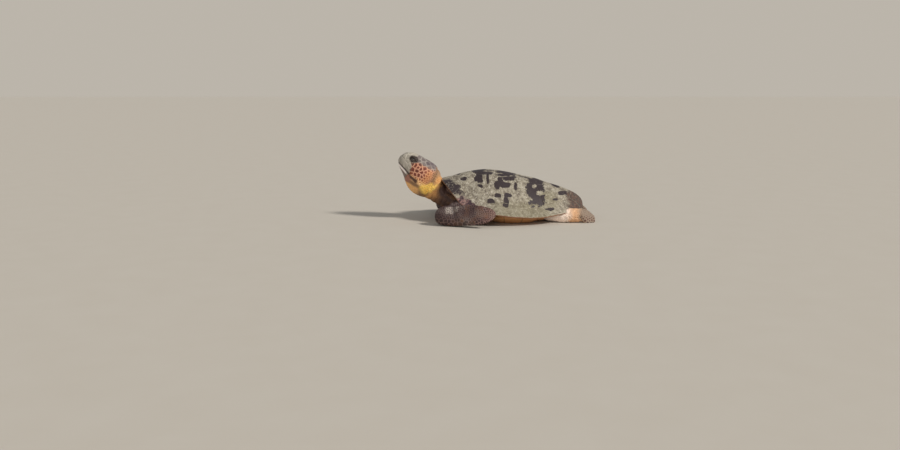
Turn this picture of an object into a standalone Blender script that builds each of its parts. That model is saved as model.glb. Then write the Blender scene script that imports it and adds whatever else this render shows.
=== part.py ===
"""Loggerhead sea turtle, life size, at rest on its belly with its head raised and its flippers folded.

Units are metres. X points to the turtle's left, Y to its tail and Z up. The origin is on the floor
under the middle of the plastron. The shell is a dome cut into its horny scutes, the soft body is
lofted from sections, and every piece stands a hair clear of its neighbours.
"""

import math

import bmesh
import bpy
from mathutils import Matrix, Vector

# Driving dimensions.
SHELL_LENGTH = 0.85
SHELL_WIDTH = 0.65
SHELL_TAPER = 0.20  # how much broader the front half is than the rear half
SHOULDER_FULLNESS = 0.85  # under 1 squares the front of the outline
SHELL_THICKNESS = 0.010
DOME_TOP = Vector((0.0, -0.17, 0.295))
DOME_ARCH = 1.6  # the power of the dome's curve along the back
SIDE_ARCH = 0.7  # what is added to it at the sides, which are fuller
MARGINAL_WIDTH = 0.066  # in plan, from the rim to the seam with the costals
PLASTRON_THICKNESS = 0.012
HEAD_PITCH = math.radians(30)
BEAK_TIP = Vector((0.0, -0.683, 0.351))
WIDEST_LEVEL = 0.44  # where the head is broadest, as a share of its height from the top
EYE_RADIUS = 0.0185
GAP = 0.0004  # between pieces that touch in life
SEAM = 0.0008  # between two scutes

# Grid of the shell: spokes round the dome, rings out to the costal seam and from there to the rim.
SPOKES = 32
DOME_RINGS = 4
SKIRT_SHARES = (0.5, 0.85, 1.0)

# Points round a limb's section and round the head's, and how square the sections' shoulders are.
SECTION_POINTS = 12
HEAD_POINTS = 18
HEAD_FULLNESS = 2.25
BLADE_FULLNESS = 1.9
LIMB_FULLNESS = 2.1
EYE_SEGMENTS = 14
EYE_RINGS = 8

# The carapace's scutes in plan. Each vertebral has a front seam, with its place along the back and
# its half length, and a side corner behind that, where two costals meet.
NUCHAL_FRONT_HALF = 0.056
NUCHAL_REAR_HALF = 0.074
MARGINALS = 12
VERTEBRAL_SEAMS = ((-0.362, 0.046), (-0.252, 0.054), (-0.108, 0.060), (0.052, 0.056), (0.206, 0.046))
VERTEBRAL_CORNERS = ((-0.310, 0.082), (-0.182, 0.092), (-0.030, 0.094), (0.128, 0.084))
COSTAL_ENDS = (0, 2.6, 4.6, 6.5, 8.6, 11)  # along the costal seam, counted in marginals

# Angles round the outline (0 at the nuchal, 180 at the tail) with the rim's height there, the step
# up from the rim to the costal seam, and the marginals' bow: under 1 they curl down to the rim.
RIM_STATIONS = (
    (0, 0.232, 0.014, 1.0),
    (20, 0.212, 0.022, 1.0),
    (33, 0.164, 0.036, 0.9),
    (44, 0.110, 0.044, 0.9),
    (62, 0.077, 0.044, 1.0),
    (90, 0.048, 0.046, 1.1),
    (110, 0.040, 0.044, 1.1),
    (128, 0.050, 0.050, 1.0),
    (152, 0.060, 0.056, 0.7),
    (180, 0.070, 0.084, 0.42),
)

# Colour, roughness and metallic value of each kind of surface.
COLOURS = {
    "scute": (0.30, 0.29, 0.21, 0.75, 0),
    "plastron": (0.62, 0.36, 0.14, 0.6, 0),
    "skin": (0.62, 0.40, 0.18, 0.6, 0),
    "flipper": (0.22, 0.10, 0.09, 0.6, 0),
    "beak": (0.36, 0.34, 0.25, 0.45, 0),
    "eye": (0.015, 0.012, 0.010, 0.1, 0),
}


def clear_scene():
    for old in list(bpy.data.objects):
        bpy.data.objects.remove(old, do_unlink=True)


def finish_of(kind):
    """The material of that kind, made the first time that it is asked for."""
    name = "turtle_" + kind
    if name in bpy.data.materials:
        return bpy.data.materials[name]
    red, green, blue, roughness, metallic = COLOURS[kind]
    made = bpy.data.materials.new(name)
    made.use_nodes = True
    shader = made.node_tree.nodes["Principled BSDF"]
    shader.inputs["Base Color"].default_value = (red, green, blue, 1)
    shader.inputs["Roughness"].default_value = roughness
    shader.inputs["Metallic"].default_value = metallic
    made.diffuse_color = (red, green, blue, 1)
    return made


# ---------------------------------------------------------------- shared modelling


def through(rows, steps):
    """Rows of sizes read from a smooth curve through the given rows, with steps to each gap."""
    ends = [rows[0], *rows, rows[-1]]
    found = []
    for four in zip(ends, ends[1:], ends[2:], ends[3:]):
        for step in range(steps):
            t = step / steps
            row = []
            for before, near, far, after in zip(*four):
                slope = far - before
                bend = 2 * before - 5 * near + 4 * far - after
                twist = 3 * near - before - 3 * far + after
                row.append(near + 0.5 * (slope * t + bend * t**2 + twist * t**3))
            found.append(row)
    found.append(list(rows[-1]))
    return found


def between(stations, at):
    """The values at this place among stations, on a smooth curve through all of them."""
    last = len(stations) - 1
    i = next(k for k in range(last) if at <= stations[k + 1][0] or k == last - 1)
    near, far = stations[i], stations[i + 1]
    before, after = stations[max(i - 1, 0)], stations[min(i + 2, last)]
    span = far[0] - near[0]
    t = (at - near[0]) / span
    found = []
    for p, q, r, s in zip(before[1:], near[1:], far[1:], after[1:]):
        leave = (r - p) / (far[0] - before[0]) * span if i > 0 else 0.0
        arrive = (s - q) / (after[0] - near[0]) * span if i + 1 < last else 0.0
        found.append(
            q * (2 * t**3 - 3 * t**2 + 1)
            + r * (3 * t**2 - 2 * t**3)
            + leave * (t**3 - 2 * t**2 + t)
            + arrive * (t**3 - t**2)
        )
    return found


def object_of(mesh, name, kind):
    """Makes an object of that name from a bmesh, with its faces pointing out."""
    bmesh.ops.recalc_face_normals(mesh, faces=mesh.faces)
    data = bpy.data.meshes.new(name)
    mesh.to_mesh(data)
    mesh.free()
    data.materials.append(finish_of(kind))
    made = bpy.data.objects.new(name, data)
    bpy.context.scene.collection.objects.link(made)
    data.shade_smooth()
    data.set_sharp_from_angle(angle=math.radians(50))
    return made


def lofted(rings):
    """A closed bmesh through rings of points. A ring of one point is a tip."""
    mesh = bmesh.new()
    loops = [[mesh.verts.new(point) for point in ring] for ring in rings]
    for near, far in zip(loops, loops[1:]):
        sides = max(len(near), len(far))
        for i in range(sides):
            j = (i + 1) % sides
            corners = (
                near[i % len(near)],
                near[j % len(near)],
                far[j % len(far)],
                far[i % len(far)],
            )
            for halves in ((0, 1, 2), (0, 2, 3)):
                three = dict.fromkeys(corners[k] for k in halves)
                if len(three) == 3:
                    mesh.faces.new(list(three))
    for loop in (loops[0], loops[-1]):
        if len(loop) > 2:
            mesh.faces.new(loop)
    return mesh


def oval(centre, across, upward, half_width, top, bottom, fullness=2.2, count=SECTION_POINTS):
    """A section: an oval whose upper and lower halves have their own heights. Fullness 2 is an
    ellipse, and more squares its shoulders."""
    points = []
    for step in range(count):
        angle = 2 * math.pi * step / count
        out = math.copysign(abs(math.cos(angle)) ** (2 / fullness), math.cos(angle))
        up = math.copysign(abs(math.sin(angle)) ** (2 / fullness), math.sin(angle))
        height = top if up > 0 else bottom
        points.append(centre + across * (half_width * out) + upward * (height * up))
    return points


def cut(mesh, point, outward):
    """Cuts off what lies beyond a plane, and closes the cut."""
    geometry = [*mesh.verts, *mesh.edges, *mesh.faces]
    found = bmesh.ops.bisect_plane(
        mesh, geom=geometry, dist=1e-6, plane_co=point, plane_no=outward, clear_outer=True
    )
    edges = [e for e in found["geom_cut"] if isinstance(e, bmesh.types.BMEdge) and e.is_boundary]
    bmesh.ops.holes_fill(mesh, edges=edges, sides=0)


def bmesh_of(source):
    mesh = bmesh.new()
    mesh.from_mesh(source.data)
    return mesh


def grown(source, by, name):
    """A cutter: the source with its surface moved out, so that what it cuts stands clear of it."""
    mesh = bmesh_of(source)
    mesh.normal_update()
    shifts = [vert.normal * by for vert in mesh.verts]
    for vert, shift in zip(mesh.verts, shifts):
        vert.co += shift
    made = object_of(mesh, name, "skin")
    made.hide_render = True
    made.display_type = "WIRE"
    return made


def combined(target, other, operation):
    modifier = target.modifiers.new(operation.lower() + "_" + other.name, "BOOLEAN")
    modifier.operation = operation
    modifier.object = other
    modifier.solver = "EXACT"


def applied(target):
    """Turns the modifiers of an object into its own mesh."""
    bpy.context.view_layer.update()
    graph = bpy.context.evaluated_depsgraph_get()
    data = bpy.data.meshes.new_from_object(target.evaluated_get(graph))
    target.modifiers.clear()
    target.data = data
    return target


def largest_piece(target):
    """Keeps only the largest body of a mesh, without the slivers that a cut may leave."""
    mesh = bmesh_of(target)
    left = set(mesh.faces)
    bodies = []
    while left:
        body, edge = set(), [left.pop()]
        while edge:
            face = edge.pop()
            body.add(face)
            near = {f for e in face.edges for f in e.link_faces} & left
            left -= near
            edge.extend(near)
        bodies.append(body)
    keep = max(bodies, key=lambda body: sum(face.calc_area() for face in body))
    loose = [face for face in mesh.faces if face not in keep]
    bmesh.ops.delete(mesh, geom=loose, context="FACES")
    mesh.to_mesh(target.data)
    mesh.free()
    return target


def seated(target, level=0.0):
    """Flattens what an object has below a level, so that it rests on a flat there."""
    mesh = bmesh_of(target)
    cut(mesh, Vector((0, 0, level)), Vector((0, 0, -1)))
    bmesh.ops.recalc_face_normals(mesh, faces=mesh.faces)
    mesh.to_mesh(target.data)
    mesh.free()
    return target


# ---------------------------------------------------------------- the shell


def rim_at(angle):
    """The carapace's edge at an angle round it, in degrees. Past 180 is the right side."""
    turn = math.radians(angle)
    side = 1 if angle <= 180 else -1
    reach = abs(math.sin(turn)) ** (SHOULDER_FULLNESS if math.cos(turn) > 0 else 1.0)
    across = SHELL_WIDTH / 2 * reach * (1 + SHELL_TAPER * math.cos(turn))
    height = between(RIM_STATIONS, min(angle, 360 - angle))[0]
    return Vector((side * across, -SHELL_LENGTH / 2 * math.cos(turn), height))


def seam_share(rim):
    """How far out from the dome's top the costal seam runs, as a share of the way to the rim."""
    return 1 - MARGINAL_WIDTH / (rim - DOME_TOP).xy.length


def shell_point(angle, share):
    """A point of the carapace's outer face, by angle and by share of the way to the rim."""
    rim = rim_at(angle)
    low = min(angle, 360 - angle)
    rise, bow = between(RIM_STATIONS, low)[1:]
    seam = seam_share(rim)
    sideways = math.sin(math.radians(low))
    arch = DOME_ARCH + SIDE_ARCH * sideways**1.5
    if share <= seam:
        foot = rim.z + SHELL_THICKNESS + rise
        height = foot + (DOME_TOP.z - foot) * (1 - (share / seam) ** arch)
    else:
        left = (1 - share) / (1 - seam)
        height = rim.z + SHELL_THICKNESS + rise * left**bow
    place = DOME_TOP.xy.lerp(rim.xy, share)
    return Vector((place.x, place.y, height))


def ring_shares(rim):
    seam = seam_share(rim)
    dome = [seam * ring / DOME_RINGS for ring in range(1, DOME_RINGS + 1)]
    skirt = [seam + (1 - seam) * share for share in SKIRT_SHARES]
    return dome + skirt


def dome_mesh():
    """The open outer face of the carapace in triangles, with its normals up."""
    mesh = bmesh.new()
    top = mesh.verts.new(DOME_TOP)
    spokes = []
    for spoke in range(SPOKES):
        angle = 360 * spoke / SPOKES
        shares = ring_shares(rim_at(angle))
        spokes.append([mesh.verts.new(shell_point(angle, share)) for share in shares])
    for near, far in zip(spokes, spokes[1:] + spokes[:1]):
        mesh.faces.new((top, near[0], far[0]))
        for i in range(len(near) - 1):
            mesh.faces.new((near[i], near[i + 1], far[i + 1]))
            mesh.faces.new((near[i], far[i + 1], far[i]))
    mesh.normal_update()
    if top.normal.z < 0:
        bmesh.ops.reverse_faces(mesh, faces=mesh.faces)
    return mesh


def carapace_solid():
    """The whole carapace as one closed shell, which the scutes are cut from."""
    mesh = dome_mesh()
    mesh.normal_update()
    inner = {vert: vert.co - vert.normal * SHELL_THICKNESS for vert in mesh.verts}
    under = bmesh.ops.duplicate(mesh, geom=[*mesh.verts, *mesh.edges, *mesh.faces])
    for vert, copy in under["vert_map"].items():
        if vert in inner:
            copy.co = inner[vert]
    bmesh.ops.reverse_faces(mesh, faces=[g for g in under["geom"] if isinstance(g, bmesh.types.BMFace)])
    edges = [edge for edge in mesh.edges if edge.is_boundary]
    bmesh.ops.bridge_loops(mesh, edges=edges)
    bmesh.ops.triangulate(mesh, faces=mesh.faces)
    return object_of(mesh, "carapace_whole", "scute")


def scute(whole, name, corners, open_side=None):
    """A scute: the part of the shell inside a plan outline whose corners run anticlockwise. The
    side that starts at corner open_side isn't cut, so that the scute runs out to the rim."""
    mesh = bmesh_of(whole)
    for i, corner in enumerate(corners):
        if i == open_side:
            continue
        along = (corners[(i + 1) % len(corners)] - corner).normalized()
        outward = Vector((along.y, -along.x, 0))
        foot = Vector((corner.x, corner.y, 0)) - outward * (SEAM / 2)
        cut(mesh, foot, outward)
    return largest_piece(object_of(mesh, name, "scute"))


def seam_point(position, rims):
    """A point of the costal seam, at a position counted in marginals from the nuchal."""
    lower = min(int(position), len(rims) - 2)
    ends = []
    for angle in rims[lower : lower + 2]:
        rim = rim_at(angle)
        ends.append(DOME_TOP.xy.lerp(rim.xy, seam_share(rim)))
    return ends[0].lerp(ends[1], position - lower)


def marginal_angles(count, nuchal_half_width):
    """Angles round the rim that part it, from the nuchal's side to the tail, into equal lengths."""
    fine = [rim_at(step / 4) for step in range(721)]
    start = next(i for i, point in enumerate(fine) if point.x > nuchal_half_width)
    lengths = [0.0]
    for near, far in zip(fine[start:], fine[start + 1 :]):
        lengths.append(lengths[-1] + (far - near).length)
    wanted = [lengths[-1] * i / count for i in range(count + 1)]
    return [
        (start + min(range(len(lengths)), key=lambda i: abs(lengths[i] - want))) / 4 for want in wanted
    ]


def flipped(points, side):
    """Plan points for a side of the body: mirrored ones run the other way round."""
    if side > 0:
        return points
    return [Vector((-point.x, point.y)) for point in reversed(points)]


def make_carapace():
    """Every scute of the carapace: the nuchal, five vertebrals, and five costals and twelve
    marginals to a side, the last marginal being the supracaudal."""
    whole = carapace_solid()
    rims = marginal_angles(MARGINALS, NUCHAL_FRONT_HALF)
    seams = [Vector((half, y)) for y, half in VERTEBRAL_SEAMS]
    corners = [Vector((half, y)) for y, half in VERTEBRAL_CORNERS]
    tail_seam = seam_point(MARGINALS - 1, rims)

    nuchal_side = Vector((NUCHAL_REAR_HALF, seams[0].y))
    rim_side = rim_at(rims[0]).xy
    nuchal = [rim_side, nuchal_side]
    outline = nuchal + [Vector((-p.x, p.y)) for p in reversed(nuchal)]
    scute(whole, "nuchal", outline, open_side=3)

    for i in range(5):
        left = [seams[i]]
        left += [corners[i], seams[i + 1]] if i < 4 else [tail_seam, seam_point(MARGINALS, rims)]
        right = [Vector((-p.x, p.y)) for p in reversed(left) if p.x > 1e-6]
        scute(whole, f"vertebral_{i + 1}", left + right)

    for side, word in ((1, "left"), (-1, "right")):
        for i in range(5):
            start, end = COSTAL_ENDS[i], COSTAL_ENDS[i + 1]
            outer = [seam_point(start, rims)]
            outer += [seam_point(k, rims) for k in range(MARGINALS + 1) if start < k < end]
            outer.append(seam_point(end, rims))
            if i == 0:
                outline = [seams[0], nuchal_side, *outer[1:], corners[0]]
            else:
                outline = [corners[i - 1], *outer]
                outline += [corners[i]] if i < 4 else []
                outline.append(seams[i])
            scute(whole, f"costal_{word}_{i + 1}", flipped(outline, side))
        for i in range(MARGINALS):
            inner = [seam_point(i, rims), seam_point(i + 1, rims)]
            if i == 0:
                inner[0] = nuchal_side
            outer = [rim_at(rims[i + 1]).xy, rim_at(rims[i]).xy]
            outline = flipped([inner[1], inner[0], outer[1], outer[0]], side)
            rim_corner = 2 if side > 0 else 0
            scute(whole, f"marginal_{word}_{i + 1:02d}", outline, rim_corner)
    return whole


# Angles round the plastron (0 at the front) with its reach there and the lift of its edge: a broad
# front lobe, a notch at the armpit, the bridge, a notch at the groin and the narrow rear lobe.
PLASTRON_STATIONS = (
    (0, 0.318, 0.034),
    (24, 0.298, 0.032),
    (40, 0.252, 0.026),
    (52, 0.236, 0.022),
    (64, 0.262, 0.034),
    (76, 0.268, 0.040),
    (104, 0.266, 0.040),
    (117, 0.260, 0.032),
    (131, 0.222, 0.018),
    (150, 0.236, 0.016),
    (167, 0.276, 0.018),
    (180, 0.292, 0.020),
)


def plastron_point(angle, share):
    """A point of the plastron's underside: flat in the middle, rising to the bridge and lobes."""
    reach, lift = between(PLASTRON_STATIONS, min(angle, 360 - angle))
    turn = math.radians(angle)
    edge = max(0.0, (share - 0.7) / 0.3)
    return Vector((math.sin(turn) * reach * share, -math.cos(turn) * reach * share, lift * edge**1.6))


def make_plastron():
    """The belly shell, a shallow dish that rests on its flat middle."""
    shares = (0.7, 0.86, 1.0)
    lift = Vector((0, 0, PLASTRON_THICKNESS))
    angles = [360 * spoke / SPOKES for spoke in range(SPOKES)]
    rings = [[Vector()]]
    rings += [[plastron_point(angle, share) for angle in angles] for share in shares]
    rings += [[plastron_point(angle, share) + lift for angle in angles] for share in reversed(shares)]
    rings.append([lift])
    return object_of(lofted(rings), "plastron", "plastron")


# ---------------------------------------------------------------- the soft body


def make_trunk():
    """The body between carapace and plastron, whose skin shows at the neck, armpits and groin."""
    shares = (0.7, 0.86)
    lift = PLASTRON_THICKNESS + GAP
    under = dome_mesh()
    under.normal_update()
    under.verts.ensure_lookup_table()
    clearance = SHELL_THICKNESS + GAP * 1.5
    top = under.verts[0].co - under.verts[0].normal * clearance
    rings = [[top]]
    for ring in range(DOME_RINGS):
        points = []
        for spoke in range(SPOKES):
            vert = under.verts[1 + spoke * (DOME_RINGS + len(SKIRT_SHARES)) + ring]
            points.append(vert.co - vert.normal * clearance)
        rings.append(points)
    under.free()
    waist = []
    for spoke in range(SPOKES):
        angle = 360 * spoke / SPOKES
        low = plastron_point(angle, 0.92)
        high = rings[-1][spoke]
        middle = low.lerp(high, 0.5)
        middle.z = (low.z + lift + high.z) / 2
        waist.append(middle)
    rings.append(waist)
    for share in reversed(shares):
        rings.append(
            [plastron_point(360 * k / SPOKES, share) + Vector((0, 0, lift)) for k in range(SPOKES)]
        )
    rings.append([Vector((0, 0, lift))])
    return object_of(lofted(rings), "trunk", "skin")


def head_place(back, height, across=0.0):
    """A point given in the head's own frame: how far back from the beak tip along the head's axis,
    how high above that axis, and how far to the left."""
    backward = Vector((0, math.cos(HEAD_PITCH), -math.sin(HEAD_PITCH)))
    upward = Vector((0, math.sin(HEAD_PITCH), math.cos(HEAD_PITCH)))
    return BEAK_TIP + backward * back + upward * height + Vector((across, 0, 0))


HEAD_UP = Vector((0, math.sin(HEAD_PITCH), math.cos(HEAD_PITCH)))

# Head and neck by distance back from the beak tip: half width, crown, chin or throat.
HEAD_SECTIONS = (
    (-0.005, 0.009, 0.028, 0.000),
    (0.004, 0.022, 0.046, -0.014),
    (0.016, 0.034, 0.064, -0.029),
    (0.036, 0.046, 0.076, -0.043),
    (0.062, 0.057, 0.083, -0.061),
    (0.092, 0.069, 0.087, -0.088),
    (0.126, 0.080, 0.088, -0.113),
    (0.165, 0.086, 0.088, -0.126),
    (0.205, 0.083, 0.084, -0.126),
    (0.236, 0.077, 0.070, -0.119),
    (0.264, 0.078, 0.046, -0.114),
    (0.296, 0.088, 0.020, -0.114),
    (0.340, 0.100, 0.012, -0.116),
    (0.400, 0.108, 0.012, -0.112),
)

# Where the head is parted, in profile: distance back from the beak tip and height.
MOUTH_LINE = ((-0.030, -0.004), (0.010, -0.011), (0.058, -0.024), (0.108, -0.040), (0.142, -0.056))
SHEATH_END = (0.096, -0.0362)
BEAK_TOP = ((-0.030, 0.034), (0.024, 0.029), (0.058, 0.011), (0.084, -0.008))
CHIN_TOP = (0.088, -0.0336)
CHIN_BACK = ((0.082, -0.062), (0.074, -0.120))
JAW_BACK = (0.168, -0.094)
JAW_FLOOR = ((0.140, -0.103), (0.110, -0.088), (0.0782, -0.0805))
NECK_CUT = 0.232
THROAT_TOP = (NECK_CUT, -0.080)
EYE_PLACE = (0.0745, 0.0500, 0.0420)
SNOUT_TIP = (-0.0075, 0.014)

# How far the profile's outlines run on past the head, where they cut nothing.
ABOVE_HEAD = 0.2
BELOW_HEAD = -0.3
BEHIND_NECK = 0.5
BEFORE_BEAK = -0.030
UNDER_CHIN = -0.120


def head_and_neck():
    """The head and neck in one piece, from the beak's tip to inside the shell."""
    leftward = Vector((1, 0, 0))
    rings = [[head_place(*SNOUT_TIP)]]
    for back, half_width, crown, chin in through(HEAD_SECTIONS, 2):
        middle = crown - WIDEST_LEVEL * (crown - chin)
        centre = head_place(back, middle)
        top, bottom = crown - middle, middle - chin
        ring = oval(centre, leftward, HEAD_UP, half_width, top, bottom, HEAD_FULLNESS, HEAD_POINTS)
        rings.append(ring)
    return object_of(lofted(rings), "head_whole", "skin")


def profile_block(name, outline, half_width=0.2):
    """A cutter: an outline in the head's profile plane, drawn through the head from side to side."""
    rings = [
        [head_place(back, height, side * half_width) for back, height in outline] for side in (-1, 1)
    ]
    made = object_of(lofted(rings), name, "skin")
    made.hide_render = True
    made.display_type = "WIRE"
    return made


def inset(outline, by):
    """The outline drawn in by a small distance, so that two blocks side by side leave a gap."""
    corners = [Vector(point) for point in outline]
    area = sum(a.x * b.y - a.y * b.x for a, b in zip(corners, corners[1:] + corners[:1]))
    turn = 1 if area > 0 else -1
    moved = []
    for before, here, after in zip(corners[-1:] + corners[:-1], corners, corners[1:] + corners[:1]):
        first, second = (here - before).normalized(), (after - here).normalized()
        normals = [Vector((-edge.y, edge.x)) * turn for edge in (first, second)]
        bisector = (normals[0] + normals[1]).normalized()
        moved.append(here + bisector * by / max(0.3, bisector.dot(normals[0])))
    return [(point.x, point.y) for point in moved]


def carved(whole, name, outline, kind):
    """The part of the head inside an outline of its profile."""
    piece = whole.copy()
    piece.data = whole.data.copy()
    piece.name = name
    piece.data.materials.clear()
    piece.data.materials.append(finish_of(kind))
    bpy.context.scene.collection.objects.link(piece)
    combined(piece, profile_block("block_" + name, inset(outline, GAP / 2)), "INTERSECT")
    return largest_piece(applied(piece))


def make_head():
    """Head, horny beak, lower jaw, neck and eyes, parted in profile along the mouth."""
    whole = head_and_neck()
    lips, cheek_line = MOUTH_LINE[:3], MOUTH_LINE[3:]
    carved(whole, "beak_upper", [*lips, SHEATH_END, *reversed(BEAK_TOP)], "beak")
    skull = [*BEAK_TOP, SHEATH_END, *cheek_line, JAW_BACK, THROAT_TOP]
    skull += [(NECK_CUT, ABOVE_HEAD), (BEFORE_BEAK, ABOVE_HEAD)]
    carved(whole, "head", skull, "skin")
    carved(whole, "beak_lower", [*lips, CHIN_TOP, *CHIN_BACK, (BEFORE_BEAK, UNDER_CHIN)], "beak")
    jaw = [CHIN_TOP, SHEATH_END, *cheek_line, JAW_BACK, *JAW_FLOOR, *reversed(CHIN_BACK)]
    carved(whole, "lower_jaw", jaw, "skin")
    nape = [(NECK_CUT, ABOVE_HEAD), (BEHIND_NECK, ABOVE_HEAD), (BEHIND_NECK, BELOW_HEAD)]
    nape.append((CHIN_BACK[-1][0], BELOW_HEAD))
    carved(whole, "neck", [*reversed(JAW_FLOOR), JAW_BACK, THROAT_TOP, *nape], "skin")
    make_eyes()
    whole.hide_render = True


def make_eyes():
    """The eyeballs, and the sockets that they sit in."""
    head = bpy.data.objects["head"]
    for side, word in ((1, "left"), (-1, "right")):
        centre = head_place(EYE_PLACE[0], EYE_PLACE[1], side * EYE_PLACE[2])
        for name, radius in (("eye_" + word, EYE_RADIUS), ("socket_" + word, EYE_RADIUS + GAP)):
            mesh = bmesh.new()
            bmesh.ops.create_uvsphere(
                mesh,
                u_segments=EYE_SEGMENTS,
                v_segments=EYE_RINGS,
                radius=radius,
                matrix=Matrix.Translation(centre) @ Matrix.Rotation(math.pi / 2, 4, "Y"),
            )
            object_of(mesh, name, "eye")
        socket = bpy.data.objects["socket_" + word]
        socket.hide_render = True
        socket.display_type = "WIRE"
        combined(head, socket, "DIFFERENCE")
    applied(head)


def blade(start, end, tilt, side, sections, sweep):
    """A flipper's rings from start to end. Sections give the share of the way, the half chord and
    the half thickness; sweep bends the far end back toward the trailing edge."""
    along = (end - start).normalized()
    level = Vector((along.y, -along.x, 0)).normalized()
    if level.x < 0:
        level = -level
    lead = (level * math.cos(tilt) - Vector((0, 0, 1)) * math.sin(tilt)).normalized()
    dorsal = along.cross(lead).normalized()
    if dorsal.z < 0:
        dorsal = -dorsal
    rings = []
    for share, chord, thickness in through(sections, 1):
        centre = start.lerp(end, share) - lead * (sweep * share**2)
        rings.append(oval(centre, lead, dorsal, chord, thickness, thickness, BLADE_FULLNESS))
    rings = [[Vector((side * p.x, p.y, p.z)) for p in ring] for ring in rings]
    return lofted(rings)


def limb(points, side):
    """A round limb through points (place, half width, half height), squared to its own path."""
    rows = through([(*place, width, height) for place, width, height in points], 2)
    rings = []
    for i, row in enumerate(rows):
        centre = Vector(row[:3])
        ahead = Vector(rows[min(i + 1, len(rows) - 1)][:3])
        behind = Vector(rows[max(i - 1, 0)][:3])
        along = (ahead - behind).normalized()
        across = along.cross(Vector((0, 0, 1))).normalized()
        upward = across.cross(along).normalized()
        rings.append(oval(centre, across, upward, row[3], row[4], row[4], LIMB_FULLNESS))
    return lofted([[Vector((side * p.x, p.y, p.z)) for p in ring] for ring in rings])


# The flippers by share of the way to the tip: half chord and half thickness.
FRONT_BLADE = (
    (-0.200, 0.016, 0.014),
    (-0.160, 0.040, 0.034),
    (-0.060, 0.056, 0.044),
    (0.100, 0.060, 0.038),
    (0.300, 0.062, 0.024),
    (0.500, 0.063, 0.015),
    (0.700, 0.056, 0.011),
    (0.860, 0.044, 0.008),
    (0.960, 0.027, 0.005),
    (1.000, 0.010, 0.003),
)
HIND_BLADE = (
    (-0.080, 0.022, 0.022),
    (0.050, 0.038, 0.028),
    (0.300, 0.045, 0.020),
    (0.550, 0.046, 0.013),
    (0.780, 0.040, 0.009),
    (0.930, 0.028, 0.006),
    (1.000, 0.012, 0.003),
)
FRONT_TILT = math.radians(63)
HIND_TILT = math.radians(66)
FRONT_SWEEP = 0.004

# Where the left limbs' joints lie. The arms, the thighs and the tail also have a half width and a
# half height at each place.
ELBOW, FLIPPER_TIP = Vector((0.280, -0.402, 0.058)), Vector((0.406, -0.122, 0.074))
ANKLE, TOES = Vector((0.172, 0.380, 0.050)), Vector((0.160, 0.476, 0.012))
ARM = (
    ((0.130, -0.190, 0.120), 0.060, 0.055),
    ((0.185, -0.260, 0.112), 0.058, 0.052),
    ((0.225, -0.320, 0.092), 0.052, 0.048),
    ((0.256, -0.386, 0.064), 0.042, 0.042),
)
THIGH = (
    ((0.080, 0.165, 0.056), 0.052, 0.040),
    ((0.130, 0.215, 0.048), 0.054, 0.042),
    ((0.156, 0.285, 0.042), 0.048, 0.042),
    ((0.168, 0.384, 0.044), 0.034, 0.040),
)
TAIL = (
    ((0, 0.270, 0.062), 0.050, 0.036),
    ((0, 0.340, 0.058), 0.040, 0.032),
    ((0, 0.400, 0.046), 0.024, 0.022),
    ((0, 0.446, 0.030), 0.011, 0.011),
)


def make_limbs(cutters):
    """Upper arms, front flippers, thighs and hind flippers, on both sides."""
    for side, word in ((1, "left"), (-1, "right")):
        front = blade(ELBOW, FLIPPER_TIP, FRONT_TILT, side, FRONT_BLADE, FRONT_SWEEP)
        flipper = seated(object_of(front, f"front_flipper_{word}", "flipper"))
        hind = blade(ANKLE, TOES, HIND_TILT, side, HIND_BLADE, 0.0)
        foot = seated(object_of(hind, f"hind_flipper_{word}", "flipper"))
        arm = object_of(limb(ARM, side), f"upper_arm_{word}", "flipper")
        thigh = object_of(limb(THIGH, side), f"thigh_{word}", "skin")
        for piece, end in ((arm, flipper), (thigh, foot)):
            for cutter in (*cutters, grown(end, GAP, "cutter_" + end.name)):
                combined(piece, cutter, "DIFFERENCE")
            largest_piece(applied(piece))
            seated(piece)


def make_tail(cutters):
    """The short tail of a female, which hardly passes the shell."""
    tail = object_of(limb(TAIL, 1), "tail", "skin")
    for cutter in cutters:
        combined(tail, cutter, "DIFFERENCE")
    largest_piece(applied(tail))


def gather():
    """Puts each object's origin in its own middle, and parents them all to one empty."""
    turtle = bpy.data.objects.new("turtle", None)
    bpy.context.scene.collection.objects.link(turtle)
    for piece in bpy.data.objects:
        if piece.type == "MESH":
            middle = sum((Vector(corner) for corner in piece.bound_box), Vector()) / 8
            piece.data.transform(Matrix.Translation(-middle))
            piece.location = middle
            piece.parent = turtle


def main():
    """Builds the turtle from its shell inward, then its head, limbs and tail."""
    clear_scene()
    whole = make_carapace()
    plastron = make_plastron()
    trunk = make_trunk()
    cutters = [
        grown(trunk, GAP, "cutter_trunk"),
        grown(whole, 2 * GAP, "cutter_carapace"),
        grown(plastron, GAP, "cutter_plastron"),
    ]
    whole.hide_render = True
    make_head()
    neck = bpy.data.objects["neck"]
    for cutter in cutters:
        combined(neck, cutter, "DIFFERENCE")
    largest_piece(applied(neck))
    make_limbs(cutters)
    make_tail(cutters)
    gather()


main()
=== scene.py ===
"""How the loggerhead turtle looks: smooth scutes, one skin with its scales, a horny beak and wet eyes.

Units are metres in the frame of the solids: X to the turtle's left, Y to its tail, Z up. The camera
stands low at the turtle's left side.
"""

import math

import bpy
import numpy as np
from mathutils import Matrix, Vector
from mathutils.bvhtree import BVHTree
from mathutils.kdtree import KDTree


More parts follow.
